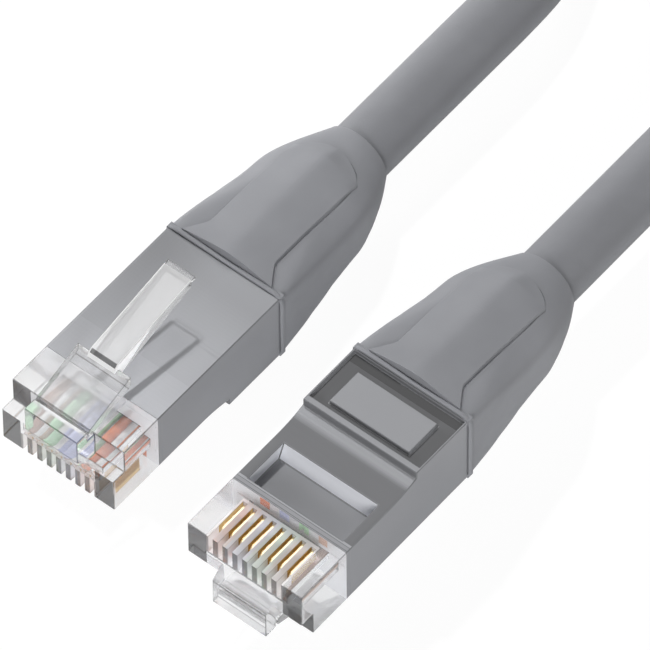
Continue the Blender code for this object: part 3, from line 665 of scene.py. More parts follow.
def studio_floor():
    """White floor: it throws soft light back up, and the eye sees it almost white with a soft shadow."""
    values = settings().stage
    look, tree, shader = new_look("studio floor")
    vary_colour(tree, shader, grain(tree, 0.05), values.floor_colour, 0.004)
    shader.inputs["Roughness"].default_value = 0.9
    shader.inputs["Specular IOR Level"].default_value = 0.0
    white = add_node(tree, "ShaderNodeEmission")
    white.inputs["Strength"].default_value = 1.08
    ray = add_node(tree, "ShaderNodeLightPath")
    seen = add_node(tree, "ShaderNodeMath", operation="MAXIMUM")
    lift = add_node(tree, "ShaderNodeMath", operation="MULTIPLY")
    lift.inputs[1].default_value = values.floor_lift
    mixed = add_node(tree, "ShaderNodeMixShader")
    strength = add_node(tree, "ShaderNodeMath", operation="MULTIPLY")
    strength.inputs[1].default_value = values.floor_glow
    glow = add_node(tree, "ShaderNodeEmission")
    whole = add_node(tree, "ShaderNodeAddShader")
    join = tree.links.new
    join(ray.outputs["Is Camera Ray"], seen.inputs[0])
    join(ray.outputs["Is Transmission Ray"], seen.inputs[1])
    join(seen.outputs["Value"], lift.inputs[0])
    join(lift.outputs["Value"], mixed.inputs["Fac"])
    join(shader.outputs["BSDF"], mixed.inputs[1])
    join(white.outputs["Emission"], mixed.inputs[2])
    join(ray.outputs["Is Diffuse Ray"], strength.inputs[0])
    join(strength.outputs["Value"], glow.inputs["Strength"])
    join(mixed.outputs["Shader"], whole.inputs[0])
    join(glow.outputs["Emission"], whole.inputs[1])
    join(whole.outputs["Shader"], tree.nodes["Material Output"].inputs["Surface"])
    return look


# Meshes


def finished(name, shape, looks, body=BODY, replaced=(), level_faces=False):
    """A bmesh, already in the row frame, as a smooth piece that rides on a body."""
    mesh = bpy.data.meshes.new(name)
    shape.to_mesh(mesh)
    shape.free()
    smooth(mesh)
    for look in looks:
        mesh.materials.append(look)
    if level_faces:
        mesh = levelled(mesh)
    return placed(name, mesh, body, replaced)


def smooth(mesh):
    """Smooth shading that stops at sharp edges."""
    mesh.shade_smooth()
    mesh.set_sharp_from_angle(angle=SHARP_ANGLE)


def levelled(mesh):
    """The same mesh with its shading kept level across large faces, so that only rounded edges bend it."""
    source = bpy.data.objects.new(mesh.name, mesh)
    bpy.context.scene.collection.objects.link(source)
    step = source.modifiers.new("Level faces", "WEIGHTED_NORMAL")
    step.weight = 100
    step.keep_sharp = True
    return baked(source, mesh.name)


def placed(name, data, body=BODY, replaced=()):
    piece = bpy.data.objects.new(name, data)
    bpy.context.scene.collection.objects.link(piece)
    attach(piece, body)
    if replaced:
        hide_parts(*replaced)
    return piece


def dress(node, look):
    """Gives a carried-over solid its finish."""
    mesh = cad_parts[node].data
    mesh.materials.clear()
    mesh.materials.append(look)


def skin(rings, closed=False):
    """Quads through rings of equal length; closed joins the last ring to the first, else flat ends."""
    shape = bmesh.new()
    loops = [[shape.verts.new(point) for point in ring] for ring in rings]
    pairs = list(zip(loops, loops[1:]))
    if closed:
        pairs.append((loops[-1], loops[0]))
    for near, far in pairs:
        for i in range(len(near)):
            j = (i + 1) % len(near)
            shape.faces.new((near[i], near[j], far[j], far[i]))
    if not closed:
        shape.faces.new(loops[0])
        shape.faces.new(loops[-1])
    bmesh.ops.recalc_face_normals(shape, faces=shape.faces)
    return shape


def round_edges(shape, width, segments, least=math.radians(20)):
    """Rounds the sharp edges that have room for it and returns the faces this makes."""
    edges = []
    for edge in shape.edges:
        beside = [other.calc_length() for end in edge.verts for other in end.link_edges]
        if min(beside) > BEVEL_ROOM * width and len(edge.link_faces) == 2 and edge.calc_face_angle() > least:
            edges.append(edge)
    made = bmesh.ops.bevel(
        shape, geom=edges, offset=width, offset_type="OFFSET", segments=segments, profile=0.5,
        affect="EDGES", clamp_overlap=True,
    )
    return made["faces"]


def softened_copy(node, width, line):
    """A copy of a solid with whole flat faces and rounded edges; its painted shade is 1, and line, a painted
    dark line, on the edges.
    """
    shape = bmesh.new()
    shape.from_mesh(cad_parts[node].data)
    bmesh.ops.remove_doubles(shape, verts=shape.verts, dist=WELD)
    bmesh.ops.dissolve_limit(
        shape, angle_limit=math.radians(0.5), verts=shape.verts, edges=shape.edges
    )
    shade = shape.faces.layers.float.new("shade")
    for face in shape.faces:
        face[shade] = 1.0
    # The rounded edges get a painted dark line.
    for face in round_edges(shape, width, 2):
        face[shade] = line
    return shape


def cut_across(shape, x, side):
    """Keeps the part of a solid in front of x (side 1) or behind it (side -1), with the cut closed."""
    whole = [*shape.verts, *shape.edges, *shape.faces]
    cut = bmesh.ops.bisect_plane(
        shape, geom=whole, dist=CUT_SLACK, plane_co=(x, 0, 0), plane_no=(side, 0, 0), clear_outer=True
    )
    edges = [e for e in cut["geom_cut"] if isinstance(e, bmesh.types.BMEdge)]
    bmesh.ops.triangle_fill(shape, use_beauty=True, use_dissolve=True, edges=edges, normal=(side, 0, 0))
    bmesh.ops.recalc_face_normals(shape, faces=shape.faces)
    shape.normal_update()
    return shape


def score(shape, place, across):
    """Divides faces along a plane through a place, so that each side can have its own finish."""
    whole = [*shape.verts, *shape.edges, *shape.faces]
    bmesh.ops.bisect_plane(shape, geom=whole, dist=CUT_SLACK, plane_co=place, plane_no=across)


def baked(source, name):
    """The plain mesh that a source object's modifiers make; the source goes."""
    depsgraph = bpy.context.evaluated_depsgraph_get()
    mesh = bpy.data.meshes.new_from_object(source.evaluated_get(depsgraph))
    mesh.name = name
    data = source.data
    bpy.data.objects.remove(source)
    if isinstance(data, bpy.types.Mesh):
        bpy.data.meshes.remove(data)
    else:
        bpy.data.curves.remove(data)
    return mesh


# Geometry node trees


def new_tree(name, inputs):
    """A geometry node tree with named inputs; returns it with its input sockets' identifiers."""
    tree = bpy.data.node_groups.new(name, "GeometryNodeTree")
    tree.is_modifier = True
    tree.interface.new_socket("Geometry", in_out="INPUT", socket_type="NodeSocketGeometry")
    names = {}
    for label, kind in inputs:
        made = tree.interface.new_socket(label, in_out="INPUT", socket_type=kind)
        names[label] = made.identifier
    tree.interface.new_socket("Geometry", in_out="OUTPUT", socket_type="NodeSocketGeometry")
    return tree, names


def end_tree(tree, given, geometry):
    """Every tree ends in real meshes with their finish."""
    whole = add_node(tree, "GeometryNodeRealizeInstances")
    paint = add_node(tree, "GeometryNodeSetMaterial")
    result = add_node(tree, "NodeGroupOutput")
    tree.links.new(geometry, whole.inputs["Geometry"])
    tree.links.new(whole.outputs["Geometry"], paint.inputs["Geometry"])
    tree.links.new(given.outputs["Look"], paint.inputs["Material"])
    tree.links.new(paint.outputs["Geometry"], result.inputs["Geometry"])


def comb_tree():
    """One blade repeated across the plug."""
    inputs = (("Count", "NodeSocketInt"), ("Pitch", "NodeSocketFloat"), ("Look", "NodeSocketMaterial"))
    tree, names = new_tree("Contact comb", inputs)
    given = add_node(tree, "NodeGroupInput")
    back = add_node(tree, "ShaderNodeMath", operation="MULTIPLY")
    back.inputs[1].default_value = -1.0
    step = add_node(tree, "ShaderNodeCombineXYZ")
    row = add_node(tree, "GeometryNodeMeshLine", mode="OFFSET")
    copies = add_node(tree, "GeometryNodeInstanceOnPoints")
    join = tree.links.new
    join(given.outputs["Pitch"], back.inputs[0])
    join(back.outputs["Value"], step.inputs["Y"])
    join(given.outputs["Count"], row.inputs["Count"])
    join(step.outputs["Vector"], row.inputs["Offset"])
    join(row.outputs["Mesh"], copies.inputs["Points"])
    join(given.outputs["Geometry"], copies.inputs["Instance"])
    end_tree(tree, given, copies.outputs["Instances"])
    return tree, names


def strand_tree():
    """A round strand along each path. Its attribute round is 1 along one side and -1 along the other."""
    inputs = (("Radius", "NodeSocketFloat"), ("Sides", "NodeSocketInt"), ("Look", "NodeSocketMaterial"))
    tree, names = new_tree("Round strand", inputs)
    given = add_node(tree, "NodeGroupInput")
    circle = add_node(tree, "GeometryNodeCurvePrimitiveCircle")
    place = add_node(tree, "GeometryNodeSplineParameter")
    turn = add_node(tree, "ShaderNodeMath", operation="MULTIPLY")
    turn.inputs[1].default_value = math.tau
    side = add_node(tree, "ShaderNodeMath", operation="COSINE")
    held = add_node(tree, "GeometryNodeCaptureAttribute")
    held.capture_items.new("FLOAT", "Round")
    sweep = add_node(tree, "GeometryNodeCurveToMesh")
    sweep.inputs["Fill Caps"].default_value = True
    keep = add_node(tree, "GeometryNodeStoreNamedAttribute", data_type="FLOAT", domain="POINT")
    keep.inputs["Name"].default_value = "round"
    join = tree.links.new
    join(given.outputs["Radius"], circle.inputs["Radius"])
    join(given.outputs["Sides"], circle.inputs["Resolution"])
    join(place.outputs["Factor"], turn.inputs[0])
    join(turn.outputs["Value"], side.inputs[0])
    join(circle.outputs["Curve"], held.inputs["Geometry"])
    join(side.outputs["Value"], held.inputs["Round"])
    join(given.outputs["Geometry"], sweep.inputs["Curve"])
    join(held.outputs["Geometry"], sweep.inputs["Profile Curve"])
    join(sweep.outputs["Mesh"], keep.inputs["Geometry"])
    join(held.outputs["Round"], keep.inputs["Value"])
    end_tree(tree, given, keep.outputs["Geometry"])
    return tree, names


def grown(source, tree, names, values, name):
    """Runs a tree on a source object and returns the plain mesh."""
    bpy.context.scene.collection.objects.link(source)
    step = source.modifiers.new(tree.name, "NODES")
    step.node_group = tree
    for label, value in values.items():
        step[names[label]] = value
    return baked(source, name)


# Cord


def smooth_route(stops, spacing):
    """Points along a smooth curve through the stops, about evenly spaced."""
    padded = [2 * stops[0] - stops[1], *stops, 2 * stops[-1] - stops[-2]]
    points = [stops[0]]
    for before, start, end, after in zip(padded, padded[1:], padded[2:], padded[3:]):
        count = max(1, round((end - start).length / spacing))
        for i in range(1, count + 1):
            t = i / count
            bend = (end - before) * t + (2 * before - 5 * start + 4 * end - after) * t**2
            bend += (3 * start - before - 3 * end + after) * t**3
            points.append(start + bend / 2)
    return points


def coil_route():
    """The wound stretch: spirals in on the ground, climbs a layer in half a turn, spirals out on top."""
    entry = math.pi / 2 + COIL_ENTRY
    whole = 2 * entry + 2 * math.pi
    outward = whole - 2 * math.pi
    near_middle = COIL_NEAR_X + COIL_RADIUS + cord_radius
    steps = round(whole / (2 * math.pi) * POINTS_PER_LOOP)
    turns = {whole * i / steps for i in range(steps + 1)}
    quarter_turns = [entry - math.pi / 2 + math.pi * i for i in range(4)]
    stops = [(turn, None) for turn in turns if min(abs(turn - q) for q in quarter_turns) > 0.02]
    stops += [(turn, part) for turn in quarter_turns for part in (0.0, 0.25, 0.5, 0.75, 1.0)]
    flat = []
    for turn, part in sorted(stops, key=lambda stop: (stop[0], stop[1] or 0)):
        radius = COIL_RADIUS - COIL_STEP
        if turn < math.pi:
            radius = COIL_RADIUS - COIL_STEP * turn / math.pi
        elif turn > 2 * math.pi:
            radius += COIL_STEP * (turn - 2 * math.pi) / outward
        passed = sum(turn > q for q in quarter_turns)
        far_side = passed % 2
        if part is not None:
            far_side = part if passed % 2 == 0 else 1 - part
        angle = entry - turn
        x = near_middle + COIL_STRAIGHT * far_side + radius * math.cos(angle)
        flat.append((turn, Vector((x, radius * math.sin(angle), cord_radius))))
    gone = [0.0]
    for (_, before), (_, after) in zip(flat, flat[1:]):
        gone.append(gone[-1] + (after - before).length)
    climb = [along for (turn, _), along in zip(flat, gone) if math.pi - 0.01 < turn < 2 * math.pi + 0.01]
    points = []
    for (_, point), along in zip(flat, gone):
        share = min(max((along - climb[0]) / (climb[-1] - climb[0]), 0.0), 1.0)
        points.append(point + Vector((0, 0, COIL_LAYER * (1 - math.cos(math.pi * share)) / 2)))
    heading = Vector((math.cos(COIL_ENTRY), math.sin(COIL_ENTRY), 0))
    leaving = Vector((-heading.x, heading.y, 0))
    return [points[0] - heading * CORD_DIAMETER, *points, points[-1] + leaving * CORD_DIAMETER]


def lead_stops(tag, joint, inside):
    """A free stretch's stops, from inside a boot to the coil's end."""
    start = plug_frame(tag) @ Vector((boot_end - CABLE_SPLIT_BACK + FACE_GAP, 0, CABLE_LEVEL))
    base = Vector((0, start.y, start.z))
    away = (joint - inside).normalized()
    stops = [base + Vector(stop) for stop in (LEAD_A_ROUTE if tag == "a" else LEAD_B_ROUTE)]
    stops[0].x = start.x
    return [*stops, joint + away * (FACE_GAP + LEAD_END_RUN)]


def cord_points():
    wound = coil_route()
    first = lead_stops("a", wound[0], wound[1])
    last = lead_stops("b", wound[-1], wound[-2])
    return smooth_route([*first, *wound, *reversed(last)], settings().cord.spacing)


def tie_shape(points):
    """A strap wound once and a bit around two strands of the coil, its tail lying on its start."""
    strands = []
    for before, after in zip(points, points[1:]):
        if before.y < 0 and after.x <= TIE_X < before.x:
            strands.append(before.lerp(after, (before.x - TIE_X) / (before.x - after.x)))
    low, high = sorted(strands, key=lambda strand: strand.z)
    lean = math.atan2(high.z - low.z, high.y - low.y)
    across = (high - low).length
    inner = cord_radius + TIE_GAP
    thick = TIE_THICKNESS * TIE_SLIMNESS
    around = 2 * math.pi * inner + 2 * across
    rings, gone = [], []
    reach = around + TIE_LAP
    for i in range(TIE_STEPS + 1):
        along = reach * i / TIE_STEPS
        lift = thick * 1.04 * ease((along - around + TIE_LAP * 0.55) / (TIE_LAP * 0.5))
        radius = inner + thick / 2 + lift
        left = (along + across * 0.35) % around
        arc = math.pi * inner
        if left < across:
            turn, middle = lean + math.pi / 2, high.lerp(low, left / across)
        elif left < across + arc:
            turn, middle = lean + math.pi / 2 + (left - across) / inner, low
        elif left < 2 * across + arc:
            turn, middle = lean + 3 * math.pi / 2, low.lerp(high, (left - across - arc) / across)
        else:
            turn, middle = lean + 3 * math.pi / 2 + (left - 2 * across - arc) / inner, high
        out = Vector((0, math.cos(turn), math.sin(turn)))
        centre = Vector((TIE_X, middle.y, middle.z)) + out * radius
        end_gap = min(along, reach - along)
        narrow = 1 - 0.25 * max(0, 1 - end_gap / 0.0008) ** 2
        ring = []
        for j in range(TIE_SIDES):
            angle = 2 * math.pi * (j + 0.5) / TIE_SIDES
            u = math.copysign(abs(math.cos(angle)) ** 0.25, math.cos(angle))
            v = math.copysign(abs(math.sin(angle)) ** 0.5, math.sin(angle))
            ring.append(centre + Vector((u * TIE_WIDTH / 2 * narrow, 0, 0)) + out * (v * thick / 2))
        rings.append(ring)
        gone.append(along)
    shape = skin(rings)
    chart = shape.loops.layers.uv.new("strap")
    shape.verts.index_update()
    for face in shape.faces:
        for corner in face.loops:
            corner[chart].uv = (gone[corner.vert.index // TIE_SIDES], corner.vert.co.x - TIE_X)
    return shape


# Boot


def section(u, v, half, bottom, top, cut, sharpness, roundness):
    """A point on a cross-section: a box with cut and softened corners that turns into a circle."""
    corner = (np.abs(u) + np.abs(v)) / (2 - cut)
    boxy = (np.abs(u) ** sharpness + np.abs(v) ** sharpness + corner**sharpness) ** (1 / sharpness)
    reach = (1 - roundness) * boxy + roundness * np.hypot(u, v)
    return half * u / reach, (top + bottom) / 2 + (top - bottom) / 2 * v / reach


def level_at(y, side, form):
    """Height of a cross-section's top (side 1) or belly (side -1) at places y across it."""
    low, high = np.full_like(y, -1.0), np.full_like(y, 1.0)
    for _ in range(40):
        middle = (low + high) / 2
        reached, _ = section(middle, side * np.ones_like(y), *form)
        low = np.where(reached < y, middle, low)
        high = np.where(reached < y, high, middle)
    return section((low + high) / 2, side * np.ones_like(y), *form)[1]


def boot_levels(x):
    """Half width, bottom and top of the boot's body at a distance from the nose."""
    share = (x - body_start) / (boot_end - body_start)
    closing = max(0.0, (share - BOOT_CLOSING_FROM) / (1 - BOOT_CLOSING_FROM)) ** 2
    half_start = flange_half - FLANGE_STEP
    half = half_start - BOOT_TAPER * share
    half -= (half_start - BOOT_TAPER - BOOT_END_RADIUS) * closing
    bottom = boot_bottom + BOOT_BELLY_RISE * share
    bottom += (CABLE_LEVEL - BOOT_END_RADIUS - boot_bottom - BOOT_BELLY_RISE) * closing
    top = boot_top + (CABLE_LEVEL + BOOT_END_RADIUS - boot_top) * closing
    return half, bottom, top


def boot_form(x):
    share = (x - body_start) / (boot_end - body_start)
    cut = SHOULDER_CUT_START + (SHOULDER_CUT - SHOULDER_CUT_START) * ease(share / SHOULDER_CUT_FROM)
    sharpness = CORNER_SHARPNESS + (END_SHARPNESS - CORNER_SHARPNESS) * ease(share)
    roundness = ease((share - BOOT_CLOSING_FROM) / (1 - BOOT_CLOSING_FROM))
    return *boot_levels(x), cut, sharpness, roundness


def panel_half_width(x):
    """Half the raised panel's width: flared at the flange, straight, and rounded off behind."""
    if x > straight_end:
        past = x - (panel_end - end_arc_radius)
        return math.sqrt(max(end_arc_radius**2 - past**2, PANEL_LEAST**2))
    left = (body_start + ROOF_NARROWING - x) / ROOF_NARROWING
    flare = (left + math.hypot(left, FLARE_SOFTNESS)) / 2
    return ROOF_WIDTH / 2 + (ROOF_FRONT_WIDTH - ROOF_WIDTH) / 2 * flare


def panel_columns(width):
    """Places across half a panel, from just outside its foot to its ridge."""
    fine = min(1.0, width / (4 * PANEL_FILLET))
    steps = [width + fine * 2 * PANEL_GROOVE, width + fine * PANEL_GROOVE, width]
    steps += [width - fine * PANEL_DRAFT, width - fine * PANEL_FILLET]
    steps += [(width - fine * PANEL_FILLET) * share for share in PANEL_SHARES]
    return np.array(steps)


def side_points(side, form, width, raised, rise, level):
    """Points along the top or the belly, from +y to -y, with the panel raised by a share of its height.

    The groove round it is deep on the side that lies in the shade.
    """
    lit = half_side(side, form, width, raised, rise, level, LIT_GROOVE)
    shaded = half_side(side, form, width, raised, rise, level, PANEL_GROOVE)
    first, second = (lit, shaded) if side > 0 else (shaded, lit)
    return first + [(-y, z) for y, z in reversed(second)]


def half_side(side, form, width, raised, rise, level, groove):
    """Points of half the top or the belly, from the side to the ridge."""
    half = panel_columns(width)
    base = level_at(half, side, form)
    softness = np.sqrt((half / width) ** 2 + RIDGE_SOFTNESS**2) - RIDGE_SOFTNESS
    softness /= math.hypot(1, RIDGE_SOFTNESS) - RIDGE_SOFTNESS
    edge = base[2] + side * ROOF_EDGE
    height = edge + (level + side * rise - edge) * (1 - np.minimum(softness, 1))
    height[:3] = base[:3]
    height[1:3] -= side * groove
    height[3] -= side * PANEL_FILLET
    height[4] -= side * PANEL_FILLET * 0.25
    panel = base + raised * (height - base)
    outer_y, outer_z = [], []
    foot = half[0] / form[0]
    for i in range(SHOULDER_COLUMNS):
        share = math.sin(math.pi / 2 * (1 - i / SHOULDER_COLUMNS))
        u = foot + (1 - foot) * share
        y, z = section(np.array(u), np.array(float(side)), *form)
        outer_y.append(float(y))
        outer_z.append(float(z))
    return list(zip(outer_y, outer_z)) + list(zip(half, panel))


def boot_ring(x, form, width, raised=0.0, rise=ROOF_RISE):
    """One closed ring of the boot: top from +y to -y, side, belly back, side."""
    bottom, top = form[1], form[2]
    across = side_points(1, form, width, raised, rise, top)
    below = side_points(-1, form, width, raised, rise, bottom)
    turns = [math.sin(math.pi / 2 * (2 * i / SIDE_COLUMNS - 1)) for i in range(1, SIDE_COLUMNS)]
    left = [section(np.array(-1.0), np.array(-turn), *form) for turn in turns]
    right = [section(np.array(1.0), np.array(turn), *form) for turn in turns]
    outline = across + left + list(reversed(below)) + right
    return [(x, float(y), float(z)) for y, z in outline]


def boot_shape():
    """The moulded boot as one closed skin: flange bead, body with raised panels, lip, bore and socket."""
    rings = []
    front_width = panel_half_width(body_start)
    flange = (flange_half, -RIDGE_DROP - FLANGE_MARGIN, PLUG_HEIGHT + FLANGE_MARGIN)
    bead_steps = 10
    for i in range(bead_steps + 1):
        angle = math.pi * i / bead_steps
        inset = FLANGE_STEP * (1.3 if i < bead_steps / 2 else 1) * (1 - math.sin(angle))
        x = boot_start + FLANGE_THICKNESS / 2 * (1 - math.cos(angle))
        half, bottom, top = flange[0] - inset, flange[1] + inset, flange[2] - inset
        form = (half, bottom, top, SHOULDER_CUT_START, CORNER_SHARPNESS, 0)
        rings.append(boot_ring(x, form, front_width))
    for ahead, raised in ((0.00002, 0.9), (0.00006, 0.985), (0.00012, 1)):
        x = body_start + ahead
        rings.append(boot_ring(x, boot_form(x), panel_half_width(x), raised))
    count = 40
    for i in range(1, count):
        x = body_start + ROOF_LENGTH * i / count
        rings.append(boot_ring(x, boot_form(x), panel_half_width(x), 1))
    hip_steps = 12
    for i in range(hip_steps + 1):
        share = min(math.sin(math.pi / 2 * i / hip_steps), 0.999)
        x = straight_end + ROOF_END_ARC * share
        rise = ROOF_RISE + (ROOF_EDGE - ROOF_RISE) * share
        rings.append(boot_ring(x, boot_form(x), panel_half_width(x), 1, rise))
    lip = (BOOT_END_RADIUS - cord_radius - BORE_GAP) / 2
    tail = boot_end - lip - panel_end
    tail_steps = 16
    for i in range(tail_steps + 1):
        x = panel_end + tail * i / tail_steps
        width = TAIL_START_WIDTH + TAIL_WIDENING * i / tail_steps
        form = boot_form(panel_end + (boot_end - panel_end) * i / tail_steps)
        rings.append(boot_ring(x, form, width))
    plain = (0, END_SHARPNESS, 1)
    lip_steps = 6
    for i in range(1, lip_steps + 1):
        angle = math.pi * i / lip_steps
        radius = BOOT_END_RADIUS - lip * (1 - math.cos(angle))
        form = (radius, CABLE_LEVEL - radius, CABLE_LEVEL + radius, *plain)
        rings.append(boot_ring(boot_end - lip + lip * math.sin(angle), form, TAIL_END_WIDTH))
    rings.append(boot_ring(HOUSING_LENGTH + SOCKET_GAP, form, TAIL_END_WIDTH))
    socket = (
        PLUG_WIDTH / 2 + SOCKET_GAP, -RIDGE_DROP - SOCKET_GAP, PLUG_HEIGHT + SOCKET_GAP,
        0, SOCKET_SHARPNESS, 0,
    )
    rings.append(boot_ring(HOUSING_LENGTH + SOCKET_GAP, socket, front_width))
    rings.append(boot_ring(boot_start, socket, front_width))
    return skin(rings, closed=True)


# Contacts and wires


def blade_shape():
    """One contact blade at the first place of the row: a rounded nose and two teeth that bite the wire."""
    end = CONTACT_START + CONTACT_LENGTH
    foot = WIRE_LEVEL - WIRE_DIAMETER / 2 - TOOTH_LENGTH
    tip = foot + TOOTH_LENGTH + TOOTH_BITE
    outline = []
    for i in range(5):
        turn = math.pi + math.pi / 2 * i / 4
        outline.append((
            CONTACT_START + CONTACT_ROUND * (1 + math.cos(turn)),
            CONTACT_SINK + CONTACT_ROUND * (1 + math.sin(turn)),
        ))
    outline += [
        (end, CONTACT_SINK),
        (end, foot),
        (end - TOOTH_WIDTH / 2, tip),
        (end - TOOTH_WIDTH, foot),
        (CONTACT_START + TOOTH_WIDTH, foot),
        (CONTACT_START + TOOTH_WIDTH / 2, tip),
        (CONTACT_START, foot),
    ]
    middle = (CONTACT_COUNT - 1) / 2 * CONTACT_PITCH
    sides = (middle - CONTACT_THICKNESS / 2, middle + CONTACT_THICKNESS / 2)
    shape = skin([[(x, y, z) for x, z in outline] for y in sides])
    # The attribute shade marks the faces toward the contact face, which get the painted highlight
    polished = shape.faces.layers.float.new("shade")
    round_edges(shape, settings().contact.edge, 2, math.radians(25))
    shape.normal_update()
    for face in shape.faces:
        face[polished] = float(face.normal.z < -0.5)
    return shape


def wire_points(number, start):
    """A wire's path: in the flat row under the contacts, then in two rows that close up toward the jacket."""
    place = ((CONTACT_COUNT - 1) / 2 - number) * CONTACT_PITCH
    column = (1.5 - number // 2) * COLUMN_SPACING
    row = CABLE_LEVEL + (0.5 - number % 2) * ROW_SPACING
    end = fan_start + FAN_LENGTH - WIRE_GAP
    points = []
    for i in range(WIRE_STEPS + 1):
        x = start + (end - start) * i / WIRE_STEPS
        raised = ease((x - STAGGER_START) / STAGGER_LENGTH)
        gathered = ease((x - fan_start) / (FAN_LENGTH - 2 * WIRE_GAP))
        points.append((x, place + (column - place) * gathered, WIRE_LEVEL + (row - WIRE_LEVEL) * raised))
    return points


def paths(name, lines):
    """A curve object with one open line for each list of points."""
    data = bpy.data.curves.new(name, "CURVE")
    data.dimensions = "3D"
    for points in lines:
        line = data.splines.new("POLY")
        line.points.add(len(points) - 1)
        for slot, point in zip(line.points, points):
            slot.co = (*point, 1.0)
    return bpy.data.objects.new(name, data)


# Operators


class PATCHCABLE_OT_stage(bpy.types.Operator):
    """Set the camera, the lamps, the soft light from all round and the white floor."""

    bl_idname = "patch_cable.stage"
    bl_label = "Stage"

    def execute(self, context):
        values = settings().stage
        scene = context.scene
        turn, rise, roll = values.azimuth, values.elevation, values.roll
        back = Vector((math.sin(turn) * math.cos(rise), -math.cos(turn) * math.cos(rise), math.sin(rise)))
        right = Vector((math.cos(turn), math.sin(turn), 0))
        up = back.cross(right)
        right, up = (
            right * math.cos(roll) + up * math.sin(roll),
            up * math.cos(roll) - right * math.sin(roll),
        )
        camera = bpy.data.objects.new("camera", bpy.data.cameras.new("camera"))
        matrix = Matrix((right, up, back)).transposed().to_4x4()
        matrix.translation = Vector(values.target) + back * values.distance
        camera.matrix_world = matrix
        camera.data.sensor_width = SENSOR_WIDTH
        camera.data.lens = values.lens
        camera.data.clip_start = NEAR_CLIP
        camera.data.clip_end = FAR_CLIP
        scene.collection.objects.link(camera)
        scene.camera = camera
        scene.view_settings.view_transform = "Standard"

        away = Vector((-back.x, -back.y, 0)).normalized()
        left = Vector((-right.x, -right.y, 0)).normalized()
        behind, aside, above = KEY_WAY
        key_way = away * behind + left * aside + Z_AXIS * above
        key = self.lamp("key lamp", key_way, KEY_DISTANCE, KEY_SIZE, values.key)
        key.visible_glossy = False
        key.visible_transmission = False
        self.lamp("left lamp", *LEFT_LAMP, values.left)
        self.lamp("right lamp", *RIGHT_LAMP, values.right)
        front = self.lamp("front lamp", *FRONT_LAMP, values.front)
        front.visible_glossy = False

        self.sky(scene, values)

        shape = bmesh.new()
        bmesh.ops.create_grid(shape, x_segments=8, y_segments=8, size=FLOOR_HALF)
        mesh = bpy.data.meshes.new("floor")
        shape.to_mesh(mesh)
        shape.free()
        mesh.materials.append(studio_floor())
        floor = bpy.data.objects.new("floor", mesh)
        floor.location.z = cad_box[0].z - FLOOR_DROP
        scene.collection.objects.link(floor)
        return {"FINISHED"}

    def sky(self, scene, values):
        """Soft even light for dull surfaces; polished ones see a bright top and a dark horizon."""
        scene.world = bpy.data.worlds.new("studio")
        scene.world.use_nodes = True
        tree = scene.world.node_tree
        even = tree.nodes["Background"]
        even.inputs["Color"].default_value = (1, 1, 1, 1)
        even.inputs["Strength"].default_value = values.sky
        where = add_node(tree, "ShaderNodeTexCoord")
        split = add_node(tree, "ShaderNodeSeparateXYZ")
        rise = add_node(tree, "ShaderNodeValToRGB")
        rise.color_ramp.elements[0].position = 0.05
        rise.color_ramp.elements[0].color = (0.12, 0.12, 0.13, 1)
        rise.color_ramp.elements[1].position = 0.6
        rise.color_ramp.elements[1].color = (1, 1, 1, 1)
        mirrored = add_node(tree, "ShaderNodeBackground")
        mirrored.inputs["Strength"].default_value = values.mirrored_sky
        ray = add_node(tree, "ShaderNodeLightPath")
        seen = add_node(tree, "ShaderNodeMath", operation="MAXIMUM")
        mixed = add_node(tree, "ShaderNodeMixShader")
        join = tree.links.new
        join(where.outputs["Generated"], split.inputs["Vector"])
        join(split.outputs["Z"], rise.inputs["Fac"])
        join(rise.outputs["Color"], mirrored.inputs["Color"])
        join(ray.outputs["Is Glossy Ray"], seen.inputs[0])
        join(ray.outputs["Is Transmission Ray"], seen.inputs[1])
        join(seen.outputs["Value"], mixed.inputs["Fac"])
        join(even.outputs["Background"], mixed.inputs[1])
        join(mirrored.outputs["Background"], mixed.inputs[2])
        join(mixed.outputs["Shader"], tree.nodes["World Output"].inputs["Surface"])

    def lamp(self, name, way, distance, size, power):
        data = bpy.data.lights.new(name, "AREA")
        data.shape = "DISK"
        data.size = size
        data.energy = power
        lamp = bpy.data.objects.new(name, data)
        lamp.location = Vector(settings().stage.target) + way.normalized() * distance
        lamp.rotation_euler = way.to_track_quat("Z", "Y").to_euler()
        bpy.context.scene.collection.objects.link(lamp)
        return lamp


class PATCHCABLE_OT_cord(bpy.types.Operator):
    """Lay the cord from one boot through its coil to the other boot, and tie the coil."""

    bl_idname = "patch_cable.cord"
    bl_label = "Cord and tie"

    def execute(self, context):
        values = settings().cord
        look = moulded_grey("cable jacket", values.colour, values.roughness, 0.00015)
        points = cord_points()
        cord = paths("cord", [points])
        cord.data.bevel_depth = cord_radius
        cord.data.bevel_resolution = 10
        cord.data.use_fill_caps = True
        cord.data.materials.append(look)
        context.scene.collection.objects.link(cord)
        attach(cord, BODY)
        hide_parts("cable_lead_a", "cable_lead_b", "cable_coil")
        for tag in TAGS:
            dress(f"cable_end_{tag}", look)
        tie = finished("tie_strap", tie_shape(points), (woven_tie(),), BODY, ["tie"])
        return {"FINISHED"}


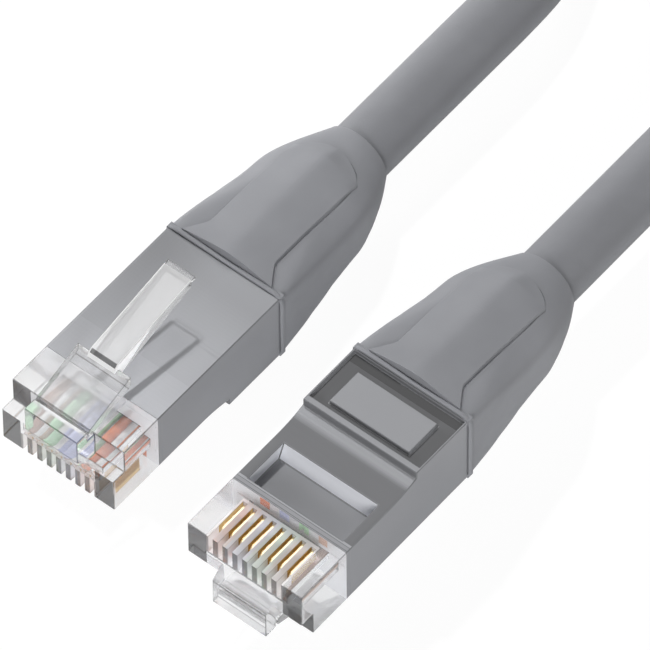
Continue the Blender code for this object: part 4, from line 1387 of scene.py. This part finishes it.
class PATCHCABLE_OT_housings(bpy.types.Operator):
    """Mould the housings with rounded edges: a clear nose, and a rear that its filling turns grey, both with
    painted light, shade and reflections.
    """

    bl_idname = "patch_cable.housings"
    bl_label = "Housings"

    def execute(self, context):
        values = settings()
        plastic = values.clear
        clear = clear_plastic("clear nose", plastic.nose_tint, plastic.nose, plastic.shade, plastic.nose_bend)
        # Looks with painted reflections: the wires' colours in the fingers and the gold on the slot walls; a
        # paler top, a painted sheen; the wires on the bonded back
        combs = [self.comb_look(name, values) for name in WIRE_NAMES[::2]]
        slot = clear_plastic("gilded slot", plastic.slot_gold_reflection, plastic.comb, plastic.shade, plastic.nose_bend)
        top = clear_plastic("clear top", plastic.nose_tint, plastic.top, plastic.shade, plastic.nose_bend)
        filled = filled_shell()
        gleams = [insulation(name) for name in WIRE_NAMES]
        for tag in TAGS:
            node = f"housing_{tag}"
            place = plug_frame(tag)
            whole = softened_copy(node, plastic.edge, plastic.line)
            whole.transform(place.inverted())
            nose = cut_across(whole.copy(), NOSE_END, 1)
            # Lines that divide a nose's faces for its painted light, shade and reflections
            score(nose, (0, COMB_HALF, 0), Y_AXIS)
            score(nose, (0, -COMB_HALF, 0), Y_AXIS)
            score(nose, (0, -LATCH_WIDTH / 2, 0), Y_AXIS)
            score(nose, (0, 0, COMB_DEPTH), Z_AXIS)
            score(nose, (CONTACT_START, 0, 0), X_AXIS)
            score(nose, (COMB_END, 0, 0), X_AXIS)
            for number in range(CONTACT_COUNT + 1):
                score(nose, (0, (CONTACT_COUNT / 2 - number) * CONTACT_PITCH, 0), Y_AXIS)
            for level in GLEAM:
                score(nose, (0, 0, level), Z_AXIS)
            self.tint_nose(nose, values)
            nose.transform(place)
            looks = (clear, filled, slot, top, *combs, *gleams)
            finished(f"clear_nose_{tag}", nose, looks, BODY, [node], level_faces=True)
            shell = cut_across(whole, NOSE_END + NOSE_GAP, -1)
            pad_end = HOUSING_LENGTH - PAD_GAP_BACK
            # Slices for the painted light and shade of the filled rear
            turn = np.linspace(*RAMP_TURN, RAMP_SHADES)
            fore = (*np.linspace(NOSE_END, CAVITY_STEP_AT, BAND_SHADES)[1:-1],
                    *np.linspace(CAVITY_STEP_AT, FORE_END, FORE_SHADES))
            for y in np.linspace(FADE_START, PLUG_WIDTH / 2, FADE_SHADES)[:-1]:
                score(shell, (0, y, 0), Y_AXIS)
            for x in (*fore, POCKET_START, pad_end, *turn, *(end for line in RIM_LINES for end in line)):
                score(shell, (x, 0, 0), X_AXIS)
            shade = shell.faces.layers.float["shade"]
            # Rounded edges get painted dark lines, the other faces painted light and shade
            for face in shell.faces:
                if face[shade] < 1.0:
                    face[shade] = values.shell.edge
                else:
                    face[shade] = self.brightness(face.calc_center_median(), face.normal, values.shell)
            shell.transform(place)
            looks = (filled,)
            finished(f"filled_shell_{tag}", shell, looks, BODY, [node], level_faces=True)
        return {"FINISHED"}

    def comb_look(self, wire, values):
        """Clear plastic with a painted reflection of a little of the colour of the wires beside it."""
        plastic = values.clear
        tint = Vector(plastic.comb_tint).lerp(getattr(values.wire, wire), plastic.wire_reflection)
        return clear_plastic(f"clear comb {wire}", tint, plastic.comb, plastic.shade, plastic.nose_bend)

    def tint_nose(self, nose, values):
        """Sorts a nose's faces: fronts with painted shade, pale fingers, slots with a painted gold
        reflection, sides with painted light and a back bonded to the filling.
        """
        shade = nose.faces.layers.float["shade"]
        for face in nose.faces:
            middle = face.calc_center_median()
            in_comb = abs(middle.y) < COMB_HALF and middle.z < COMB_DEPTH and middle.x < COMB_END
            at_front = -NOSE_GAP < middle.x < NOSE_FRONT_DEPTH and abs(middle.y) > COMB_HALF
            number = int(CONTACT_COUNT / 2 - middle.y / CONTACT_PITCH)
            # The back, bonded to the filling, gets painted light, with painted reflections of the coloured
            # wires low on it
            if middle.x > CAVITY_START - NOSE_GAP and abs(face.normal.x) > SQUARE_ON:
                mirrored = abs(middle.y) < COMB_HALF and GLEAM[0] < middle.z < GLEAM[1]
                coloured = mirrored and not WIRE_NAMES[number].startswith("white_")
                face.material_index = GLEAM_LOOKS + number if coloured else FILLED_LOOK
                face[shade] = values.shell.front
            # Fingers: painted reflections of the wires' colours and, on the slot walls, of the gold; painted
            # shade on their fronts, painted light on their tops, lighter painted lines on their edges
            elif in_comb:
                beside = middle.x > CONTACT_START and abs(face.normal.y) > SQUARE_ON
                face.material_index = SLOT_LOOK if beside else COMB_LOOKS + number // 2
                if face.normal.x < -SQUARE_ON and abs(middle.x) < NOSE_GAP:
                    face[shade] = values.clear.finger
                elif face.normal.z < -SQUARE_ON:
                    face[shade] = values.clear.comb_top
                else:
                    face[shade] = max(face[shade], values.clear.fine_line)
            # Painted shade on the solid front corners
            elif at_front and face.normal.x < -SQUARE_ON:
                if middle.x < NOSE_GAP or middle.y > 0:
                    face[shade] = values.clear.front
            # Painted light on the sides and the latch face; the latch face beside the latch takes the paler
            # top look, a painted sheen
            elif face[shade] == 1.0 and max(face.normal.z, abs(face.normal.y)) > SQUARE_ON:
                face[shade] = values.clear.side
                on_top = face.normal.z > SQUARE_ON and middle.y > -LATCH_WIDTH / 2
                face.material_index = TOP_LOOK if on_top else CLEAR_LOOK

    def brightness(self, middle, facing, values):
        """How bright the filling looks: painted light on a band behind the nose, painted shade toward its
        left edge, a dark recess, a pocket rim with painted lines.
        """
        pocket_end = POCKET_START + POCKET_LENGTH
        panel_start = RIDGE_AT + RIDGE_WIDTH
        floor = -RIDGE_DROP + PANEL_DEPTH
        # Painted light along the latch face, and painted shade toward its left edge
        if facing.z > 0.7:
            along = (NOSE_END, CAVITY_STEP_AT, CAVITY_STEP_AT + NOSE_GAP, FORE_END)
            level = np.interp(middle.x, along, (values.band, values.middle, values.fore, 1.0))
            return level * (1 - values.fade * np.interp(middle.y, (FADE_START, PLUG_WIDTH / 2), (0, 1)))
        # The recess is made darker; painted shade where the flange shades it
        if facing.z < -SQUARE_ON and middle.x > panel_start and abs(middle.z - floor) < PANEL_DEPTH / 4:
            return values.corner if middle.x > HOUSING_LENGTH - PAD_GAP_BACK else values.recess
        # Painted shade on the fronts of ridge and pad
        if facing.x < -MOSTLY and middle.x > RIDGE_AT - NOSE_GAP:
            return values.step
        # Painted shade on the pocket's floor
        if facing.z < -SQUARE_ON and POCKET_START < middle.x < pocket_end and middle.z > POCKET_DEPTH / 2:
            return values.floor
        # The flat is made darker, and painted light grows up the ramp
        if facing.z < -SQUARE_ON and POCKET_START < middle.x < RIDGE_AT:
            start, end = RAMP_TURN
            return values.flat + (values.ramp - values.flat) * ease((middle.x - start) / (end - start))
        # Painted light on the pocket's slanted wall and on its side wall
        if facing.x < -MOSTLY and pocket_end - POCKET_SLANT < middle.x < pocket_end:
            return values.wall
        if facing.y > MOSTLY and POCKET_START < middle.x < pocket_end and 0 < middle.z < POCKET_DEPTH:
            return values.wall
        # Painted dark lines and painted light on the rim before the pocket
        if facing.z < -SQUARE_ON and middle.x < POCKET_START:
            if any(start < middle.x < end for start, end in RIM_LINES):
                return values.line
            return values.rim if middle.x > RIM_LINES[-1][1] else 1.0
        # Painted light on the front that shows through the nose
        if middle.x < NOSE_END + 2 * NOSE_GAP:
            return values.front
        return 1.0


class PATCHCABLE_OT_latches(bpy.types.Operator):
    """Mould the sprung latches with rounded edges, painted highlights and painted shade."""

    bl_idname = "patch_cable.latches"
    bl_label = "Latches"

    def execute(self, context):
        values = settings().clear
        # The lever's looks are paler than the platform's: painted light and painted highlights
        finishes = {"clear platform": values.latch, "clear lever": values.lever, "lever glint": values.glint}
        looks = [
            clear_plastic(name, values.latch_tint, clearness, values.latch_rim, values.latch_bend)
            for name, clearness in finishes.items()
        ]
        for tag in TAGS:
            node = f"latch_{tag}"
            place = plug_frame(tag)
            shape = softened_copy(node, values.edge, values.latch_line)
            shape.transform(place.inverted())
            self.sort_faces(shape, values)
            shape.transform(place)
            body = f"latch_lever_{tag}"
            finished(f"clear_{node}", shape, looks, body, [node], level_faces=True)
        return {"FINISHED"}

    def sort_faces(self, shape, values):
        """Sorts a latch's faces: platform, lever with painted highlights on its edges and gussets, painted
        shade on the step at its root.
        """
        foot, tip = Vector(GUSSET_GLINT_FOOT), Vector(GUSSET_GLINT_TIP)
        slant = (tip - foot).cross(Y_AXIS)
        score(shape, foot, slant)
        inner = LEVER_WIDTH / 2 - LEVER_GLINT
        for side in (-1, 1):
            score(shape, (0, side * inner, 0), Y_AXIS)
        shade = shape.faces.layers.float["shade"]
        for face in shape.faces:
            middle, facing = face.calc_center_median(), face.normal
            if not SHOULDER_AT - LEVER_OVERLAP <= middle.x <= LATCH_TIP_AT:
                continue
            face.material_index = LEVER_LOOK
            # Painted highlight on a lever's side above the slant from its root; the rest of its side stays
            # clear
            if abs(facing.y) > 0.95:
                gusset_glint = (middle - foot).dot(slant) * slant.z > 0 and middle.x < tip.x
                face.material_index = GLINT_LOOK if gusset_glint else PLATFORM_LOOK
                face[shade] = values.gusset_glint if gusset_glint else 1.0
            # Painted highlights on the front of the root and along the lever's top edges
            elif facing.x < -0.8 or (facing.z > 0.2 and inner < abs(middle.y) < LEVER_WIDTH / 2):
                face.material_index = GLINT_LOOK
                face[shade] = 1.0
            # Painted shade on the upper step at the root
            elif facing.x < -0.5:
                face[shade] = values.root


class PATCHCABLE_OT_moulds(bpy.types.Operator):
    """Finish the grey inner mouldings that show through the clear walls."""

    bl_idname = "patch_cable.moulds"
    bl_label = "Inner mouldings"

    def execute(self, context):
        values = settings().mould
        look = moulded_grey("inner moulding", values.colour, values.roughness, 0.00012)
        for tag in TAGS:
            dress(f"inner_mould_{tag}", look)
        return {"FINISHED"}


class PATCHCABLE_OT_contacts(bpy.types.Operator):
    """Stamp the gold-plated contact blades, eight to a plug."""

    bl_idname = "patch_cable.contacts"
    bl_label = "Contacts"

    def execute(self, context):
        look = gold_plating()
        tree, names = comb_tree()
        for tag in TAGS:
            mesh = bpy.data.meshes.new("blade")
            shape = blade_shape()
            shape.to_mesh(mesh)
            shape.free()
            source = bpy.data.objects.new("blade", mesh)
            values = {"Count": CONTACT_COUNT, "Pitch": CONTACT_PITCH, "Look": look}
            comb = grown(source, tree, names, values, f"contacts_{tag}")
            smooth(comb)
            comb.transform(plug_frame(tag))
            nodes = [f"contact_{tag}{number}" for number in range(1, CONTACT_COUNT + 1)]
            placed(f"contacts_{tag}", comb, replaced=nodes)
        return {"FINISHED"}


class PATCHCABLE_OT_wires(bpy.types.Operator):
    """Draw the eight insulated wires of each plug and their copper cores."""

    bl_idname = "patch_cable.wires"
    bl_label = "Wires"

    def execute(self, context):
        sides = settings().wire.sides
        tree, names = strand_tree()
        looks = {name: insulation(name) for name in WIRE_NAMES}
        metal = copper()
        for tag in TAGS:
            place = plug_frame(tag)
            for number, name in enumerate(WIRE_NAMES):
                source = paths("wire path", [wire_points(number, WIRE_START)])
                values = {"Radius": WIRE_DIAMETER / 2, "Sides": sides, "Look": looks[name]}
                mesh = grown(source, tree, names, values, f"insulation_{tag}_{name}")
                self.keep(mesh, place, [f"wire_{tag}_{name}"], f"wire_{name}")
            tip = WIRE_START - CORE_REACH
            starts = [wire_points(number, tip)[:CORE_POINTS] for number in range(CONTACT_COUNT)]
            source = paths("core paths", starts)
            values = {"Radius": CORE_DIAMETER / 2, "Sides": sides, "Look": metal}
            self.keep(grown(source, tree, names, values, f"wire_cores_{tag}"), place)
        return {"FINISHED"}

    def keep(self, mesh, place, replaced=(), slot=None):
        smooth(mesh)
        mesh.transform(place)
        placed(mesh.name, mesh, replaced=replaced)


class PATCHCABLE_OT_boots(bpy.types.Operator):
    """Mould the two boots that hold the cord to the plugs."""

    bl_idname = "patch_cable.boots"
    bl_label = "Boots"

    def execute(self, context):
        values = settings().boot
        look = moulded_grey("moulded boot", values.colour, values.roughness, values.grain)
        for tag in TAGS:
            shape = boot_shape()
            shape.transform(plug_frame(tag))
            finished(f"moulded_boot_{tag}", shape, (look,), BODY, [f"boot_{tag}"])
        return {"FINISHED"}


STEPS = (
    PATCHCABLE_OT_stage, PATCHCABLE_OT_cord, PATCHCABLE_OT_housings, PATCHCABLE_OT_latches,
    PATCHCABLE_OT_moulds, PATCHCABLE_OT_contacts, PATCHCABLE_OT_wires, PATCHCABLE_OT_boots,
)


class PATCHCABLE_PT_panel(bpy.types.Panel):
    """Sizes, colours and steps of the patch cable's looks."""

    bl_idname = "PATCHCABLE_PT_panel"
    bl_label = "Patch Cable"
    bl_space_type = "VIEW_3D"
    bl_region_type = "UI"
    bl_category = "Patch Cable"

    def draw(self, context):
        whole = context.scene.patch_cable
        for group in whole.bl_rna.properties.keys():
            values = getattr(whole, group)
            if isinstance(values, bpy.types.PropertyGroup):
                box = self.layout.box()
                box.label(text=whole.bl_rna.properties[group].name)
                for name in values.__annotations__:
                    box.prop(values, name)
        for step in STEPS:
            self.layout.operator(step.bl_idname)


GROUPS = (
    ClearSettings, ShellSettings, MouldSettings, BootSettings, CordSettings, ContactSettings, WireSettings,
    StageSettings, PatchCableSettings,
)
CLASSES = (*GROUPS, *STEPS, PATCHCABLE_PT_panel)


def register():
    for kind in CLASSES:
        bpy.utils.register_class(kind)
    bpy.types.Scene.patch_cable = PointerProperty(type=PatchCableSettings)


def unregister():
    del bpy.types.Scene.patch_cable
    for kind in reversed(CLASSES):
        bpy.utils.unregister_class(kind)


def main():
    register()
    bpy.ops.patch_cable.stage()
    bpy.ops.patch_cable.cord()
    bpy.ops.patch_cable.housings()
    bpy.ops.patch_cable.latches()
    bpy.ops.patch_cable.moulds()
    bpy.ops.patch_cable.contacts()
    bpy.ops.patch_cable.wires()
    bpy.ops.patch_cable.boots()


if __name__ == "__main__":
    main()
